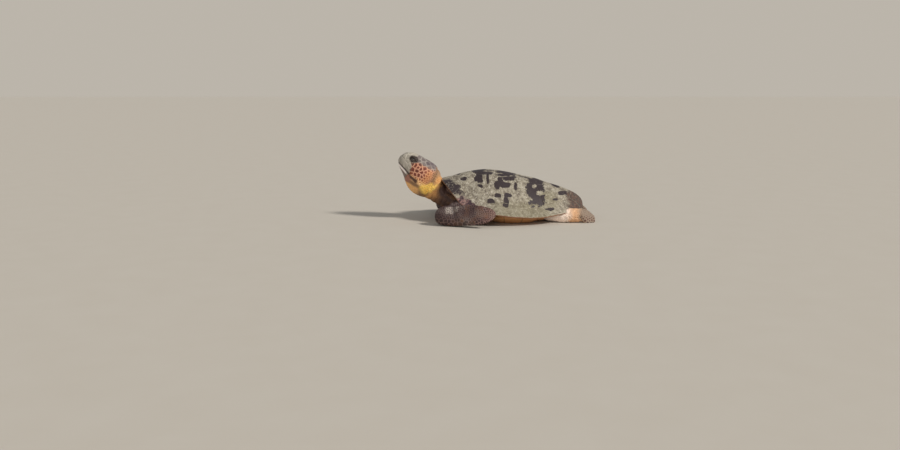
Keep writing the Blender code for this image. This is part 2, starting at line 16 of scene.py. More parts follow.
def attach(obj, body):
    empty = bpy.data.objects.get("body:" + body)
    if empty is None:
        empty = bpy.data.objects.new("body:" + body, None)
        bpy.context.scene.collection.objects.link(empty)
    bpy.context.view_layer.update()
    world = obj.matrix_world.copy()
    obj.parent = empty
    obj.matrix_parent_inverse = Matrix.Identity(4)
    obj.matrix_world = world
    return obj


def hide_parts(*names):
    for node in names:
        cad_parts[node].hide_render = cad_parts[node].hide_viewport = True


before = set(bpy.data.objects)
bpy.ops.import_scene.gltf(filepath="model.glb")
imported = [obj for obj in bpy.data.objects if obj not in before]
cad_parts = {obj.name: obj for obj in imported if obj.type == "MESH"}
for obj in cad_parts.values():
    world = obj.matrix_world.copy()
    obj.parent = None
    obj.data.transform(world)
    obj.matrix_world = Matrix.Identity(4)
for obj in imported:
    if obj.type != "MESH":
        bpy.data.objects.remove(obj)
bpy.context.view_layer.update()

# The shell, with the sizes that its solids have.
SHELL_LENGTH = 0.85
SHELL_WIDTH = 0.65
SHELL_TAPER = 0.20
SHOULDER_FULLNESS = 0.85
SHELL_THICKNESS = 0.010
DOME_TOP = np.array((0.0, -0.17, 0.295))
MARGINALS = 12  # on each side
MARGINAL_WIDTH = 0.066
NUCHAL_HALF_WIDTH = 0.056
PLASTRON_THICKNESS = 0.012
PLASTRON_SEAMS = (-0.245, -0.165, -0.070, 0.045, 0.150)  # along the body
PLASTRON_BRIDGE = 0.205  # from the middle out to the seam along each side
SEAM_DEPTH = 0.0010
PLASTRON_GRID = (480, 78)  # points round it and from its middle to its edge
RIM_STATIONS = (
    (0, 0.232, 0.014, 1.0),
    (20, 0.212, 0.022, 1.0),
    (33, 0.164, 0.036, 0.9),
    (44, 0.110, 0.044, 0.9),
    (62, 0.077, 0.044, 1.0),
    (90, 0.048, 0.046, 1.1),
    (110, 0.040, 0.044, 1.1),
    (128, 0.050, 0.050, 1.0),
    (152, 0.060, 0.056, 0.7),
    (180, 0.070, 0.084, 0.42),
)
PLASTRON_STATIONS = (
    (0, 0.318, 0.034),
    (24, 0.298, 0.032),
    (40, 0.252, 0.026),
    (52, 0.236, 0.022),
    (64, 0.262, 0.034),
    (76, 0.268, 0.040),
    (104, 0.266, 0.040),
    (117, 0.260, 0.032),
    (131, 0.222, 0.018),
    (150, 0.236, 0.016),
    (167, 0.276, 0.018),
    (180, 0.292, 0.020),
)

# The head, in its own frame: back from the beak tip, above the axis, and to the left.
HEAD_PITCH = math.radians(30)
BEAK_TIP = np.array((0.0, -0.683, 0.351))
BACKWARD = np.array((0.0, math.cos(HEAD_PITCH), -math.sin(HEAD_PITCH)))
UPWARD = np.array((0.0, math.sin(HEAD_PITCH), math.cos(HEAD_PITCH)))
LEFTWARD = np.array((1.0, 0.0, 0.0))
ABOVE = np.array((0.0, 0.0, 1.0))
HEAD_SECTIONS = (
    (-0.005, 0.009, 0.028, 0.000),
    (0.004, 0.022, 0.046, -0.014),
    (0.016, 0.034, 0.064, -0.029),
    (0.036, 0.046, 0.076, -0.043),
    (0.062, 0.057, 0.083, -0.061),
    (0.092, 0.069, 0.087, -0.088),
    (0.126, 0.080, 0.088, -0.113),
    (0.165, 0.086, 0.088, -0.126),
    (0.205, 0.083, 0.084, -0.126),
    (0.236, 0.077, 0.070, -0.119),
    (0.264, 0.078, 0.046, -0.114),
    (0.296, 0.088, 0.020, -0.114),
    (0.340, 0.100, 0.012, -0.116),
    (0.400, 0.108, 0.012, -0.112),
)
WIDEST_LEVEL = 0.44
HEAD_FULLNESS = 2.25
MOUTH_LINE = ((-0.030, -0.004), (0.010, -0.011), (0.058, -0.024), (0.108, -0.040), (0.142, -0.056))
SHEATH_END = (0.096, -0.0362)
BEAK_TOP = ((-0.030, 0.034), (0.024, 0.029), (0.058, 0.011), (0.084, -0.008))
CHIN_TOP = (0.088, -0.0336)
CHIN_BACK = ((0.082, -0.062), (0.074, -0.120))
UPPER_BEAK = (*MOUTH_LINE[:3], SHEATH_END, *reversed(BEAK_TOP))
LOWER_BEAK = (*MOUTH_LINE[:3], CHIN_TOP, *CHIN_BACK, (-0.030, -0.120))
EYE_PLACE = (0.0745, 0.0500, 0.0420)
EYE_RADIUS = 0.0185
IRIS_RADIUS = 0.0125
LID_OPENING = (0.0160, 0.0098)  # half the length and height of the gap between the lids
LID_REACH = (0.0285, 0.0235)  # half the length and height of the lids
LID_SLANT = 0.16
LID_GRID = (160, 40)  # points round a lid and from its rim outward
EYE_HOLLOW = 0.0125
NOSTRIL_DEPTH = 0.0060
NOSTRIL_PLACE = (0.0035, 0.0400, 0.0075)

# The flippers: share of the way from elbow or ankle to the tip, half chord and half thickness.
FRONT_BLADE = (
    (-0.200, 0.016, 0.014),
    (-0.160, 0.040, 0.034),
    (-0.060, 0.056, 0.044),
    (0.100, 0.060, 0.038),
    (0.300, 0.062, 0.024),
    (0.500, 0.063, 0.015),
    (0.700, 0.056, 0.011),
    (0.860, 0.044, 0.008),
    (0.960, 0.027, 0.005),
    (1.000, 0.010, 0.003),
)
HIND_BLADE = (
    (-0.080, 0.022, 0.022),
    (0.050, 0.038, 0.028),
    (0.300, 0.045, 0.020),
    (0.550, 0.046, 0.013),
    (0.780, 0.040, 0.009),
    (0.930, 0.028, 0.006),
    (1.000, 0.012, 0.003),
)
# Each flipper's name, its ends on the left side, how far its face leans over, its sections and how
# far its tip sweeps back.
BLADES = (
    ("front_flipper", (0.280, -0.402, 0.058), (0.406, -0.122, 0.074), math.radians(63), FRONT_BLADE, 0.004),
    ("hind_flipper", (0.172, 0.380, 0.050), (0.160, 0.476, 0.012), math.radians(66), HIND_BLADE, 0.0),
)
FLIPPER_FRAMES = {}  # each flipper's start and its directions: along, to the leading edge and up

# The slack skin under the neck: its place along the back and height, half width and half height.
BREAST = (
    (-0.400, 0.118, 0.070, 0.030),
    (-0.372, 0.104, 0.108, 0.050),
    (-0.330, 0.092, 0.128, 0.050),
    (-0.270, 0.090, 0.140, 0.040),
)

# The skin over the neck, inside the shell's front opening, in the same way.
NAPE = (
    (-0.404, 0.174, 0.064, 0.024),
    (-0.384, 0.184, 0.092, 0.041),
    (-0.350, 0.188, 0.106, 0.044),
    (-0.290, 0.190, 0.110, 0.040),
)

# The looks' own sizes.
SHELL_SPOKES = 768
DOME_RINGS = 92
SKIRT_RINGS = 24
SCUTE_GAP = 0.00015
SCUTE_EDGE_DROP = 0.0011
SCUTE_MOUND = 0.0020
RIM_DROP = 0.0018
RIM_BULGE = 0.0035
WALL_ROWS = 3  # rows of points in the wall round a sheet's edge
CRUST_THICKNESS = 0.0005
GROWTH_RING = 0.00016  # half the height of a growth ring
GROWTH_RING_EVERY = 0.0019 * 2 * math.pi
SKIN_VOXEL = 0.003
SKIN_CLEARANCE = 0.0012  # from the skin to the shell and the floor
FORM_SWELL = 0.0009  # how far forms swell so that neighbours join
SCALE_RISE = 0.0010  # how far the scales stand above the skin
SMALL_SCALE_RISE = 0.0005
SCALE_ROOT = 0.0012  # how far they reach into it
TRIES_FOR_A_SCALE = 7
SPACING_RANGE = (0.80, 1.32)  # how close scales may lie, in shares of the wished spacing
SKIN_SHARE = 0.40  # how many of the skin's triangles stay
HEAD_TRIANGLES, LIMB_TRIANGLES, TAIL_TRIANGLES = 185000, 150000, 90000

# How far the body's sculpted forms stand out or lie in.
BROW_HEIGHT = 0.0042
CHEEK_HEIGHT = 0.0030
THROAT_ROUGHNESS = 0.0016
JAW_LINE_DEPTH = 0.0035
BEAK_STEP = 0.0045
NAPE_DEPTH = 0.0035
NECK_FOLD_HEIGHT = 0.0042
NECK_CREASE_DEPTH = 0.0022
PLEAT_HEIGHT = 0.0030
PLEAT_CREASE_DEPTH = 0.0018
FINGER_HEIGHT = 0.0022
ELBOW_FOLD_DEPTH = 0.0062

FLESH = (
    "head", "lower_jaw", "neck", "trunk", "tail",
    "upper_arm_left", "upper_arm_right", "front_flipper_left", "front_flipper_right",
    "thigh_left", "thigh_right", "hind_flipper_left", "hind_flipper_right",
)
SIDES = ((1, "left"), (-1, "right"))

# The parts whose plates are a plainer brown than the skin between them, by the piece they belong to.
PLAIN_PLATES = {"neck_scales": "trunk", "front_flipper_left_scales": "front_flipper_left"}


# ---------------- numbers and noise


def unit(vectors):
    lengths = np.linalg.norm(vectors, axis=-1, keepdims=True)
    return vectors / np.maximum(lengths, 1e-12)


def ease(values, low=0.0, high=1.0):
    """A soft step from 0 at low to 1 at high."""
    t = np.clip((np.asarray(values, float) - low) / (high - low), 0, 1)
    return t * t * (3 - 2 * t)


def scattered(cells, seed):
    """A steady random number from 0 to 1 for every whole-numbered place."""
    mask = np.uint64(0xFFFFFFFF)
    x, y, z = (cells[..., i].astype(np.int64).astype(np.uint64) & mask for i in range(3))
    mixed = x * np.uint64(0x8DA6B343) + y * np.uint64(0xD8163841) + z * np.uint64(0xCB1AB31F)
    mixed = (mixed + np.uint64(seed) * np.uint64(0x9E3779B1)) & mask
    for shift, factor in ((15, 0x2C1B3C6D), (12, 0x297A2D39)):
        mixed = ((mixed ^ (mixed >> np.uint64(shift))) * np.uint64(factor)) & mask
    return (mixed ^ (mixed >> np.uint64(15))).astype(float) / 4294967296.0


def rough(points, size, seed, octaves=1):
    """Smooth random values between about -1 and 1, that change over the given size."""
    total, share, sum_of_shares = 0.0, 1.0, 0.0
    for octave in range(octaves):
        places = np.asarray(points, float) / (size * 0.5**octave)
        base = np.floor(places)
        t = places - base
        t = t * t * (3 - 2 * t)
        value = 0.0
        for corner in np.ndindex(2, 2, 2):
            weight = np.prod(np.where(np.array(corner) == 1, t, 1 - t), axis=-1)
            value = value + weight * scattered(base + np.array(corner), seed + 31 * octave)
        total = total + share * (2 * value - 1)
        sum_of_shares += share
        share *= 0.5
    return total / sum_of_shares


def between(stations, at):
    """The values at this place among stations, on a smooth curve through all of them."""
    last = len(stations) - 1
    i = next(k for k in range(last) if at <= stations[k + 1][0] or k == last - 1)
    near, far = stations[i], stations[i + 1]
    before, after = stations[max(i - 1, 0)], stations[min(i + 2, last)]
    span = far[0] - near[0]
    t = (at - near[0]) / span
    found = []
    for p, q, r, s in zip(before[1:], near[1:], far[1:], after[1:]):
        leave = (r - p) / (far[0] - before[0]) * span if i > 0 else 0.0
        arrive = (s - q) / (after[0] - near[0]) * span if i + 1 < last else 0.0
        found.append(
            q * (2 * t**3 - 3 * t**2 + 1)
            + r * (3 * t**2 - 2 * t**3)
            + leave * (t**3 - 2 * t**2 + t)
            + arrive * (t**3 - t**2)
        )
    return found


def through(rows, steps):
    """Rows of sizes read from a smooth curve through the given rows, with steps to each gap."""
    rows = np.array(rows, float)
    ends = np.vstack((rows[:1], rows, rows[-1:]))
    found = []
    for p, q, r, s in zip(ends, ends[1:], ends[2:], ends[3:]):
        for step in range(steps):
            t = step / steps
            bend = (2 * p - 5 * q + 4 * r - s) * t**2 + (3 * q - p - 3 * r + s) * t**3
            found.append(0.5 * (2 * q + (r - p) * t + bend))
    found.append(rows[-1])
    return np.array(found)


def head_place(back, height, across=0.0):
    """A point given in the head's own frame."""
    shape = np.shape(back) + (1,)
    parts = [np.reshape(np.broadcast_to(v, np.shape(back)), shape) for v in (back, height, across)]
    return BEAK_TIP + BACKWARD * parts[0] + UPWARD * parts[1] + LEFTWARD * parts[2]


def in_head(points):
    """How far back from the beak tip, above the head's axis, and to the left points lie."""
    offset = np.asarray(points) - BEAK_TIP
    return offset @ BACKWARD, offset @ UPWARD, offset @ LEFTWARD


# ---------------- meshes as arrays


def mesh_object(name, points, faces, loops=()):
    """An object from points, triangles and, where given, further faces of many corners."""
    faces = np.asarray(faces, np.int32)
    corners = np.concatenate([faces.ravel(), *(np.asarray(loop, np.int32) for loop in loops)])
    counts = np.concatenate([np.full(len(faces), faces.shape[1]), [len(loop) for loop in loops]])
    starts = np.concatenate([[0], np.cumsum(counts)[:-1]]).astype(np.int32)
    data = bpy.data.meshes.new(name)
    data.vertices.add(len(points))
    data.vertices.foreach_set("co", np.asarray(points, np.float32).ravel())
    data.loops.add(len(corners))
    data.loops.foreach_set("vertex_index", corners.astype(np.int32))
    data.polygons.add(len(starts))
    data.polygons.foreach_set("loop_start", starts)
    data.update(calc_edges=True)
    data.shade_smooth()
    made = bpy.data.objects.new(name, data)
    bpy.context.scene.collection.objects.link(made)
    return made


def read(items, name, width=1, kind=np.int32):
    """The values of this name of a mesh's vertices, loops or triangles, in rows of some width."""
    values = np.empty(len(items) * width, kind)
    items.foreach_get(name, values)
    return values.reshape(-1, width)


def points_of(data):
    return read(data.vertices, "co", 3, np.float32).astype(float)


def arrays_of(data):
    """A mesh's points and its faces in triangles."""
    data.calc_loop_triangles()
    return points_of(data), read(data.loop_triangles, "vertices", 3)


def changed_by(piece, kind, **settings):
    """The mesh that a piece has once a modifier of this kind has worked on it."""
    modifier = piece.modifiers.new(kind.lower(), kind)
    for name, value in settings.items():
        setattr(modifier, name, value)
    bpy.context.view_layer.update()
    return bpy.data.meshes.new_from_object(piece.evaluated_get(bpy.context.evaluated_depsgraph_get()))


def thinned(piece, share):
    """Leaves a piece about this share of its triangles, taken from where it is flattest."""
    full = piece.data
    fewer = changed_by(piece, "DECIMATE", ratio=share)
    piece.modifiers.clear()
    piece.data = fewer
    bpy.data.meshes.remove(full)
    fewer.name = piece.name


def welded(points, faces, within=1e-5):
    """The same mesh with the points that lie on each other made one."""
    keys = np.round(points / within).astype(np.int64)
    _, first, number = np.unique(keys, axis=0, return_index=True, return_inverse=True)
    faces = number.ravel()[faces]
    kept = (faces[:, 0] != faces[:, 1]) & (faces[:, 1] != faces[:, 2]) & (faces[:, 2] != faces[:, 0])
    return points[first], faces[kept]


def node_arrays(name):
    """The points and triangles of one of the solids."""
    return welded(*arrays_of(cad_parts[name].data))


def normals_of(points, faces):
    """Each point's normal, from the faces around it."""
    a, b, c = (points[faces[:, i]] for i in range(3))
    across = np.cross(b - a, c - a)
    total = sum(
        np.stack([np.bincount(faces[:, i], way, len(points)) for way in across.T], 1) for i in range(3)
    )
    return unit(total)


def edges_of(faces):
    """Each edge once, as the numbers of its two points."""
    sides = len(faces[0])
    pairs = np.concatenate([np.stack((faces[:, i], faces[:, (i + 1) % sides]), 1) for i in range(sides)])
    return np.unique(np.sort(pairs, axis=1), axis=0)


def averaged(values, edges, count):
    """For each point, the mean of the values at its neighbours."""
    near, far = edges.T
    degree = np.bincount(near, minlength=count) + np.bincount(far, minlength=count)
    total = [np.bincount(near, v[far], count) + np.bincount(far, v[near], count) for v in values.T]
    return np.stack(total, 1) / np.maximum(degree, 1)[:, None]


def smoothed(points, edges, times, weight=1.0):
    """Evens out a surface without shrinking it much. The weight says how much, point by point."""
    weight = np.broadcast_to(weight, len(points))[:, None]
    for _ in range(times):
        for pull in (0.52, -0.54):
            points = points + weight * pull * (averaged(points, edges, len(points)) - points)
    return points


def grid_faces(rows, columns):
    """Triangles between rows of points, each row closed into a ring."""
    row, column = np.meshgrid(np.arange(rows - 1), np.arange(columns), indexing="ij")
    after = (column + 1) % columns
    a, b = row * columns + column, row * columns + after
    c, d = a + columns, b + columns
    return np.concatenate([np.stack(three, -1).reshape(-1, 3) for three in ((a, b, d), (a, d, c))])


def lofted(rings):
    """A closed mesh through rings of points, with its ends drawn to their middles."""
    rings = np.asarray(rings)
    rows, columns = rings.shape[:2]
    points = np.concatenate([rings.reshape(-1, 3), rings[:1].mean(1), rings[-1:].mean(1)])
    start, end = rows * columns, rows * columns + 1
    k = np.arange(columns)
    near = np.stack((np.full(columns, start), (k + 1) % columns, k), 1)
    last = (rows - 1) * columns
    far = np.stack((np.full(columns, end), last + k, last + (k + 1) % columns), 1)
    faces = np.concatenate([grid_faces(rows, columns), near, far])
    a, b, c = (points[faces[:, i]] for i in range(3))
    if np.einsum("ij,ij->i", a, np.cross(b, c)).sum() < 0:
        faces = faces[:, ::-1]
    return points, faces


def oval(centre, across, upward, half_width, top, bottom, fullness, count):
    """A section: an oval whose upper and lower halves have their own heights."""
    angles = 2 * np.pi * np.arange(count) / count
    out = np.sign(np.cos(angles)) * np.abs(np.cos(angles)) ** (2 / fullness)
    up = np.sign(np.sin(angles)) * np.abs(np.sin(angles)) ** (2 / fullness)
    height = np.where(up > 0, top, bottom) * up
    return centre + np.outer(half_width * out, across) + np.outer(height, upward)


def tree_of(points, faces):
    """A surface to search for nearest places and for what a ray meets."""
    return BVHTree.FromPolygons([tuple(p) for p in points], [tuple(int(i) for i in f) for f in faces])


def largest_body(points, faces):
    """Only the largest connected piece of a mesh."""
    labels = np.arange(len(points))
    while True:
        low = labels[faces].min(1)
        found = labels.copy()
        for i in range(faces.shape[1]):
            np.minimum.at(found, faces[:, i], low)
        found = found[found]
        if np.array_equal(found, labels):
            break
        labels = found
    names, counts = np.unique(labels, return_counts=True)
    return only(points, faces, labels == names[counts.argmax()])


def only(points, faces, wanted, *values):
    """The part of a mesh whose points are all wanted, with the values of those points."""
    faces = faces[wanted[faces].all(1)]
    used = np.unique(faces)
    number = np.full(len(points), -1)
    number[used] = np.arange(len(used))
    kept = [value[used] for value in values]
    return (points[used], number[faces], *kept)


# ---------------- cutting a surface into cells


def divided(triangles, cells, inside):
    """Cuts a surface into cells. For each triangle and cell there are three distances, above 0
    inside the cell. Returns the triangles of all cells, and for each new point its cell, the two
    old points that it lies between and how far it lies along from the first to the second."""
    order = np.argmax(inside > 0, axis=1)
    count = (inside > 0).sum(1)
    alone = np.argmax(inside <= 0, axis=1)
    order = np.where(count == 2, (alone + 1) % 3, order)
    turn = (order[:, None] + np.arange(3)) % 3
    rows = np.arange(len(triangles))[:, None]
    triangles, inside = triangles[rows, turn], inside[rows, turn]
    corners = []

    def whole(pick, i):
        return np.stack((cells[pick], triangles[pick, i], triangles[pick, i]), 1), np.zeros(pick.sum())

    def crossed(pick, i, j):
        first, second = triangles[pick, i], triangles[pick, j]
        near, far = inside[pick, i], inside[pick, j]
        swap = first > second
        low, high = np.where(swap, second, first), np.where(swap, first, second)
        a, b = np.where(swap, far, near), np.where(swap, near, far)
        return np.stack((cells[pick], low, high), 1), np.clip(a / (a - b), 0, 1)

    full, one, two = count == 3, count == 1, count == 2
    corners += [(whole(full, 0), whole(full, 1), whole(full, 2))]
    corners += [(whole(one, 0), crossed(one, 0, 1), crossed(one, 0, 2))]
    corners += [(whole(two, 0), whole(two, 1), crossed(two, 1, 2))]
    corners += [(whole(two, 0), crossed(two, 1, 2), crossed(two, 0, 2))]
    keys = np.concatenate([np.stack([corner[0] for corner in three], 1) for three in corners])
    shares = np.concatenate([np.stack([corner[1] for corner in three], 1) for three in corners])
    flat = keys.reshape(-1, 3)
    packed = (flat[:, 0].astype(np.int64) << 42) | (flat[:, 1].astype(np.int64) << 21) | flat[:, 2]
    _, first, number = np.unique(packed, return_index=True, return_inverse=True)
    faces = number.reshape(-1, 3)
    good = (faces[:, 0] != faces[:, 1]) & (faces[:, 1] != faces[:, 2]) & (faces[:, 2] != faces[:, 0])
    return faces[good], flat[first], shares.ravel()[first]


def cut_out(faces, depth):
    """The part of a surface where the depth is above 0, as divided gives it."""
    near = (depth[faces] > 0).any(1)
    return divided(faces[near], np.zeros(near.sum(), int), depth[faces[near]])


def blended(values, keys, shares):
    """Old points' values read at the new points of a divided surface."""
    share = shares.reshape(-1, *([1] * (values.ndim - 1)))
    return values[keys[:, 1]] * (1 - share) + values[keys[:, 2]] * share


def open_edges(faces):
    """The edges with a face on one side only, in the direction that their face runs."""
    pairs = np.concatenate([faces[:, [i, (i + 1) % 3]] for i in range(3)]).astype(np.int64)
    forward = (pairs[:, 0] << 32) | pairs[:, 1]
    backward = (pairs[:, 1] << 32) | pairs[:, 0]
    return pairs[~np.isin(forward, backward)]


def rings_of(edges):
    """Edges strung together into closed rings of points."""
    following = dict(zip(edges[:, 0].tolist(), edges[:, 1].tolist()))
    rings = []
    while following:
        start, here = following.popitem()
        ring = [start]
        while here != start and here in following:
            ring.append(here)
            here = following.pop(here)
        if len(ring) > 2 and here == start:
            rings.append(ring)
    return rings


# ---------------- the shell's surfaces


def rim_at(angle):
    """The carapace's edge at an angle round it, in degrees. Past 180 is the right side."""
    turn = math.radians(angle)
    side = 1 if angle <= 180 else -1
    reach = abs(math.sin(turn)) ** (SHOULDER_FULLNESS if math.cos(turn) > 0 else 1.0)
    across = SHELL_WIDTH / 2 * reach * (1 + SHELL_TAPER * math.cos(turn))
    height = between(RIM_STATIONS, min(angle, 360 - angle))[0]
    return np.array((side * across, -SHELL_LENGTH / 2 * math.cos(turn), height))


def seam_share(rim):
    """How far out from the dome's top the costal seam runs, as a share of the way to the rim."""
    return 1 - MARGINAL_WIDTH / math.dist(rim[:2], DOME_TOP[:2])


def spoke_points(angle, rings, skirts):
    """Points of the carapace's outer face along one spoke: rings to the costal seam, then skirts."""
    rim = rim_at(angle)
    low = min(angle, 360 - angle)
    rise, bow = between(RIM_STATIONS, low)[1:]
    arch = 1.6 + 0.7 * math.sin(math.radians(low)) ** 1.5
    seam = seam_share(rim)
    foot = rim[2] + SHELL_THICKNESS + rise
    dome_heights = foot + (DOME_TOP[2] - foot) * (1 - rings**arch)
    skirt_heights = rim[2] + SHELL_THICKNESS + rise * (1 - skirts) ** bow
    shares = np.concatenate([seam * rings, seam + (1 - seam) * skirts])
    places = DOME_TOP[:2] + shares[:, None] * (rim[:2] - DOME_TOP[:2])
    return np.column_stack((places, np.concatenate([dome_heights, skirt_heights])))


def fine_dome():
    """The carapace's outer face in small triangles, with fewer spokes near its top. Returns points,
    triangles and how far each point lies from the rim along its spoke, from 0 to 1."""
    rings = np.arange(1, DOME_RINGS + 1) / DOME_RINGS
    skirts = np.arange(1, SKIRT_RINGS + 1) / SKIRT_RINGS
    spokes = np.array([spoke_points(360 * k / SHELL_SPOKES, rings, skirts) for k in range(SHELL_SPOKES)])
    points, faces, inward, total = [DOME_TOP[None]], [], [np.ones(1)], 1
    rows = len(rings) + len(skirts)
    for row in range(rows):
        wanted = SHELL_SPOKES * (row + 1) / DOME_RINGS
        step = max(1, 2 ** int(math.log2(max(1.0, SHELL_SPOKES / max(wanted, 24)))))
        ring = spokes[::step, row]
        count = len(ring)
        here = total + np.arange(count)
        after = np.roll(here, -1)
        if row == 0:
            added = [(0 * here, here, after)]
        elif len(before) == count:
            follow = np.roll(before, -1)
            added = [(before, here, after), (before, after, follow)]
        else:
            follow = np.roll(before, -1)
            even, odd = here[::2], here[1::2]
            added = [(before, even, odd), (before, odd, follow), (follow, odd, np.roll(even, -1))]
        faces += [np.stack(three, 1) for three in added]
        points.append(ring)
        inward.append(np.full(count, 1 - (row + 1) / rows))
        before = here
        total += count
    points, faces = np.concatenate(points), np.concatenate(faces)
    if normals_of(points, faces)[0, 2] < 0:
        faces = faces[:, ::-1]
    return points, faces, np.concatenate(inward)


def seam_point(position, rims):
    """A point of the costal seam, at a position counted in marginals from the nuchal."""
    lower = min(int(position), len(rims) - 2)
    ends = []
    for angle in rims[lower : lower + 2]:
        rim = rim_at(angle)
        ends.append(DOME_TOP[:2] + seam_share(rim) * (rim[:2] - DOME_TOP[:2]))
    return ends[0] + (ends[1] - ends[0]) * (position - lower)


def marginal_angles(count, nuchal_half_width):
    """Angles round the rim that part it, from the nuchal's side to the tail, into equal lengths."""
    fine = np.array([rim_at(step / 4) for step in range(721)])
    start = int(np.argmax(fine[:, 0] > nuchal_half_width))
    lengths = np.concatenate([[0], np.cumsum(np.linalg.norm(np.diff(fine[start:], axis=0), axis=1))])
    wanted = lengths[-1] * np.arange(count + 1) / count
    return [(start + int(np.abs(lengths - want).argmin())) / 4 for want in wanted]


def flipped(points, side):
    """Plan points for a side of the body: mirrored ones run the other way round."""
    if side > 0:
        return points
    return [np.array((-point[0], point[1])) for point in reversed(points)]


def scute_outlines():
    """Each scute's plan outline, anticlockwise, with the side that runs out to the rim, if any."""
    rims = marginal_angles(MARGINALS, NUCHAL_HALF_WIDTH)
    front = -0.362
    crosswise = (front, -0.252, -0.108, 0.052, 0.206)
    half_seams = (0.046, 0.054, 0.060, 0.056, 0.046)
    corner_at = (-0.310, -0.182, -0.030, 0.128)
    half_corners = (0.082, 0.092, 0.094, 0.084)
    costal_ends = (0, 2.6, 4.6, 6.5, 8.6, 11)
    seams = [np.array(pair) for pair in zip(half_seams, crosswise)]
    corners = [np.array(pair) for pair in zip(half_corners, corner_at)]
    nuchal_side = np.array((0.074, front))
    nuchal = [rim_at(rims[0])[:2], nuchal_side]
    found = {"nuchal": (nuchal + [point * (-1, 1) for point in reversed(nuchal)], 3)}
    for i in range(5):
        left = [seams[i]]
        left += [corners[i], seams[i + 1]] if i < 4 else [seam_point(k, rims) for k in (11, 12)]
        right = [point * (-1, 1) for point in reversed(left) if point[0] > 1e-6]
        found[f"vertebral_{i + 1}"] = (left + right, None)
    for side, word in SIDES:
        for i in range(5):
            start, end = costal_ends[i], costal_ends[i + 1]
            outer = [seam_point(start, rims)]
            outer += [seam_point(k, rims) for k in range(MARGINALS + 1) if start < k < end]
            outer.append(seam_point(end, rims))
            if i == 0:
                outline = [seams[0], nuchal_side, *outer[1:], corners[0]]
            else:
                outline = [corners[i - 1], *outer]
                outline += [corners[i]] if i < 4 else []
                outline.append(seams[i])
            found[f"costal_{word}_{i + 1}"] = (flipped(outline, side), None)
        for i in range(MARGINALS):
            inner = [seam_point(i, rims), seam_point(i + 1, rims)]
            if i == 0:
                inner[0] = nuchal_side
            outer = [rim_at(rims[i + 1])[:2], rim_at(rims[i])[:2]]
            outline = flipped([inner[1], inner[0], outer[1], outer[0]], side)
            found[f"marginal_{word}_{i + 1:02d}"] = (outline, 2 if side > 0 else 0)
    return found


def inside_outline(places, outline, open_side):
    """How far plan places lie inside an outline, leaving out the side that runs out to the rim."""
    depth = np.full(len(places), 1.0)
    for i, corner in enumerate(outline):
        if i == open_side:
            continue
        along = unit(outline[(i + 1) % len(outline)] - corner)
        inward = np.array((-along[1], along[0]))
        depth = np.minimum(depth, (places - corner) @ inward)
    return depth


# ---------------- colours by place


def colour(red, green, blue):
    """A colour given as on a screen, turned into the linear values that shaders use."""
    parts = np.array((red, green, blue)) / 255
    return np.where(parts <= 0.04045, parts / 12.92, ((parts + 0.055) / 1.055) ** 2.4)


def painted(layers):
    """The colours of scales' middles and margins, from layers laid one over another. A layer is an
    amount from 0 to 1 for each point and a colour for each of the two; None leaves that one as it is."""
    found = [0.0, 0.0]
    for amount, *tints in layers:
        amount = np.clip(np.asarray(amount, float), 0, 1)[:, None]
        for i, tint in enumerate(tints):
            if tint is not None:
                found[i] = found[i] * (1 - amount) + colour(*tint) * amount
    return found


def spot(points, centre, radii, wander=0.0, seed=0):
    """1 in the middle of a soft ellipsoid and 0 outside it, with a wandering edge."""
    reach = np.linalg.norm((points - np.array(centre)) / np.array(radii), axis=1)
    if wander:
        reach = reach + wander * rough(points, min(radii) * 1.2, seed, 3)
    return 1 - ease(reach, 0.75, 1.15)


def set_values(piece, where=slice(None), **values):
    """Stores numbers or colours for each point of a mesh, read at the place where it comes from."""
    for name, given in values.items():
        given = np.asarray(given, np.float32)[where]
        if given.ndim == 1:
            piece.data.attributes.new(name, "FLOAT", "POINT").data.foreach_set("value", given)
        else:
            full = np.column_stack((given, np.ones(len(given), np.float32)))
            piece.data.attributes.new(name, "FLOAT_COLOR", "POINT").data.foreach_set("color", full.ravel())


# Where the dark horn shows through the carapace's dried crust, seen from the side: distance back,
# height and half sizes. The crust that stays inside such a patch is listed after.
SIDE_PATCHES = (
    (-0.209, 0.258, 0.024, 0.026), (-0.185, 0.282, 0.052, 0.008), (-0.157, 0.248, 0.008, 0.028),
    (-0.200, 0.216, 0.016, 0.009), (-0.050, 0.272, 0.064, 0.008), (-0.030, 0.254, 0.040, 0.013),
    (-0.102, 0.216, 0.019, 0.028), (-0.060, 0.221, 0.034, 0.017), (-0.084, 0.246, 0.015, 0.018),
    (0.006, 0.214, 0.009, 0.022), (-0.104, 0.168, 0.020, 0.011), (-0.044, 0.170, 0.026, 0.015),
    (-0.052, 0.140, 0.016, 0.016), (-0.056, 0.114, 0.018, 0.011), (-0.140, 0.139, 0.024, 0.015),
    (0.124, 0.188, 0.056, 0.056), (0.132, 0.142, 0.050, 0.044), (-0.300, 0.252, 0.022, 0.010),
    (-0.336, 0.205, 0.022, 0.022), (0.206, 0.086, 0.032, 0.010), (0.238, 0.133, 0.020, 0.006),
    (0.290, 0.162, 0.034, 0.011), (0.252, 0.205, 0.030, 0.006),
)
CRUST_LEFT = ((0.120, 0.208, 0.018, 0.010), (0.152, 0.172, 0.020, 0.013), (0.096, 0.140, 0.008, 0.006))
TOP_PATCHES = (
    (0.020, -0.205, 0.050, 0.044), (0.030, -0.050, 0.046, 0.055), (-0.030, 0.105, 0.036, 0.050),
    (0.000, -0.325, 0.036, 0.016), (0.012, 0.250, 0.030, 0.032),
)


def patch(first, second, place, wander):
    """1 inside a squarish patch and 0 outside it, by two of a point's coordinates."""
    across = np.abs((first - place[0]) / place[2]) ** 2.8 + np.abs((second - place[1]) / place[3]) ** 2.8
    return 1 - ease(across ** (1 / 2.8) + wander, 0.50, 1.35)


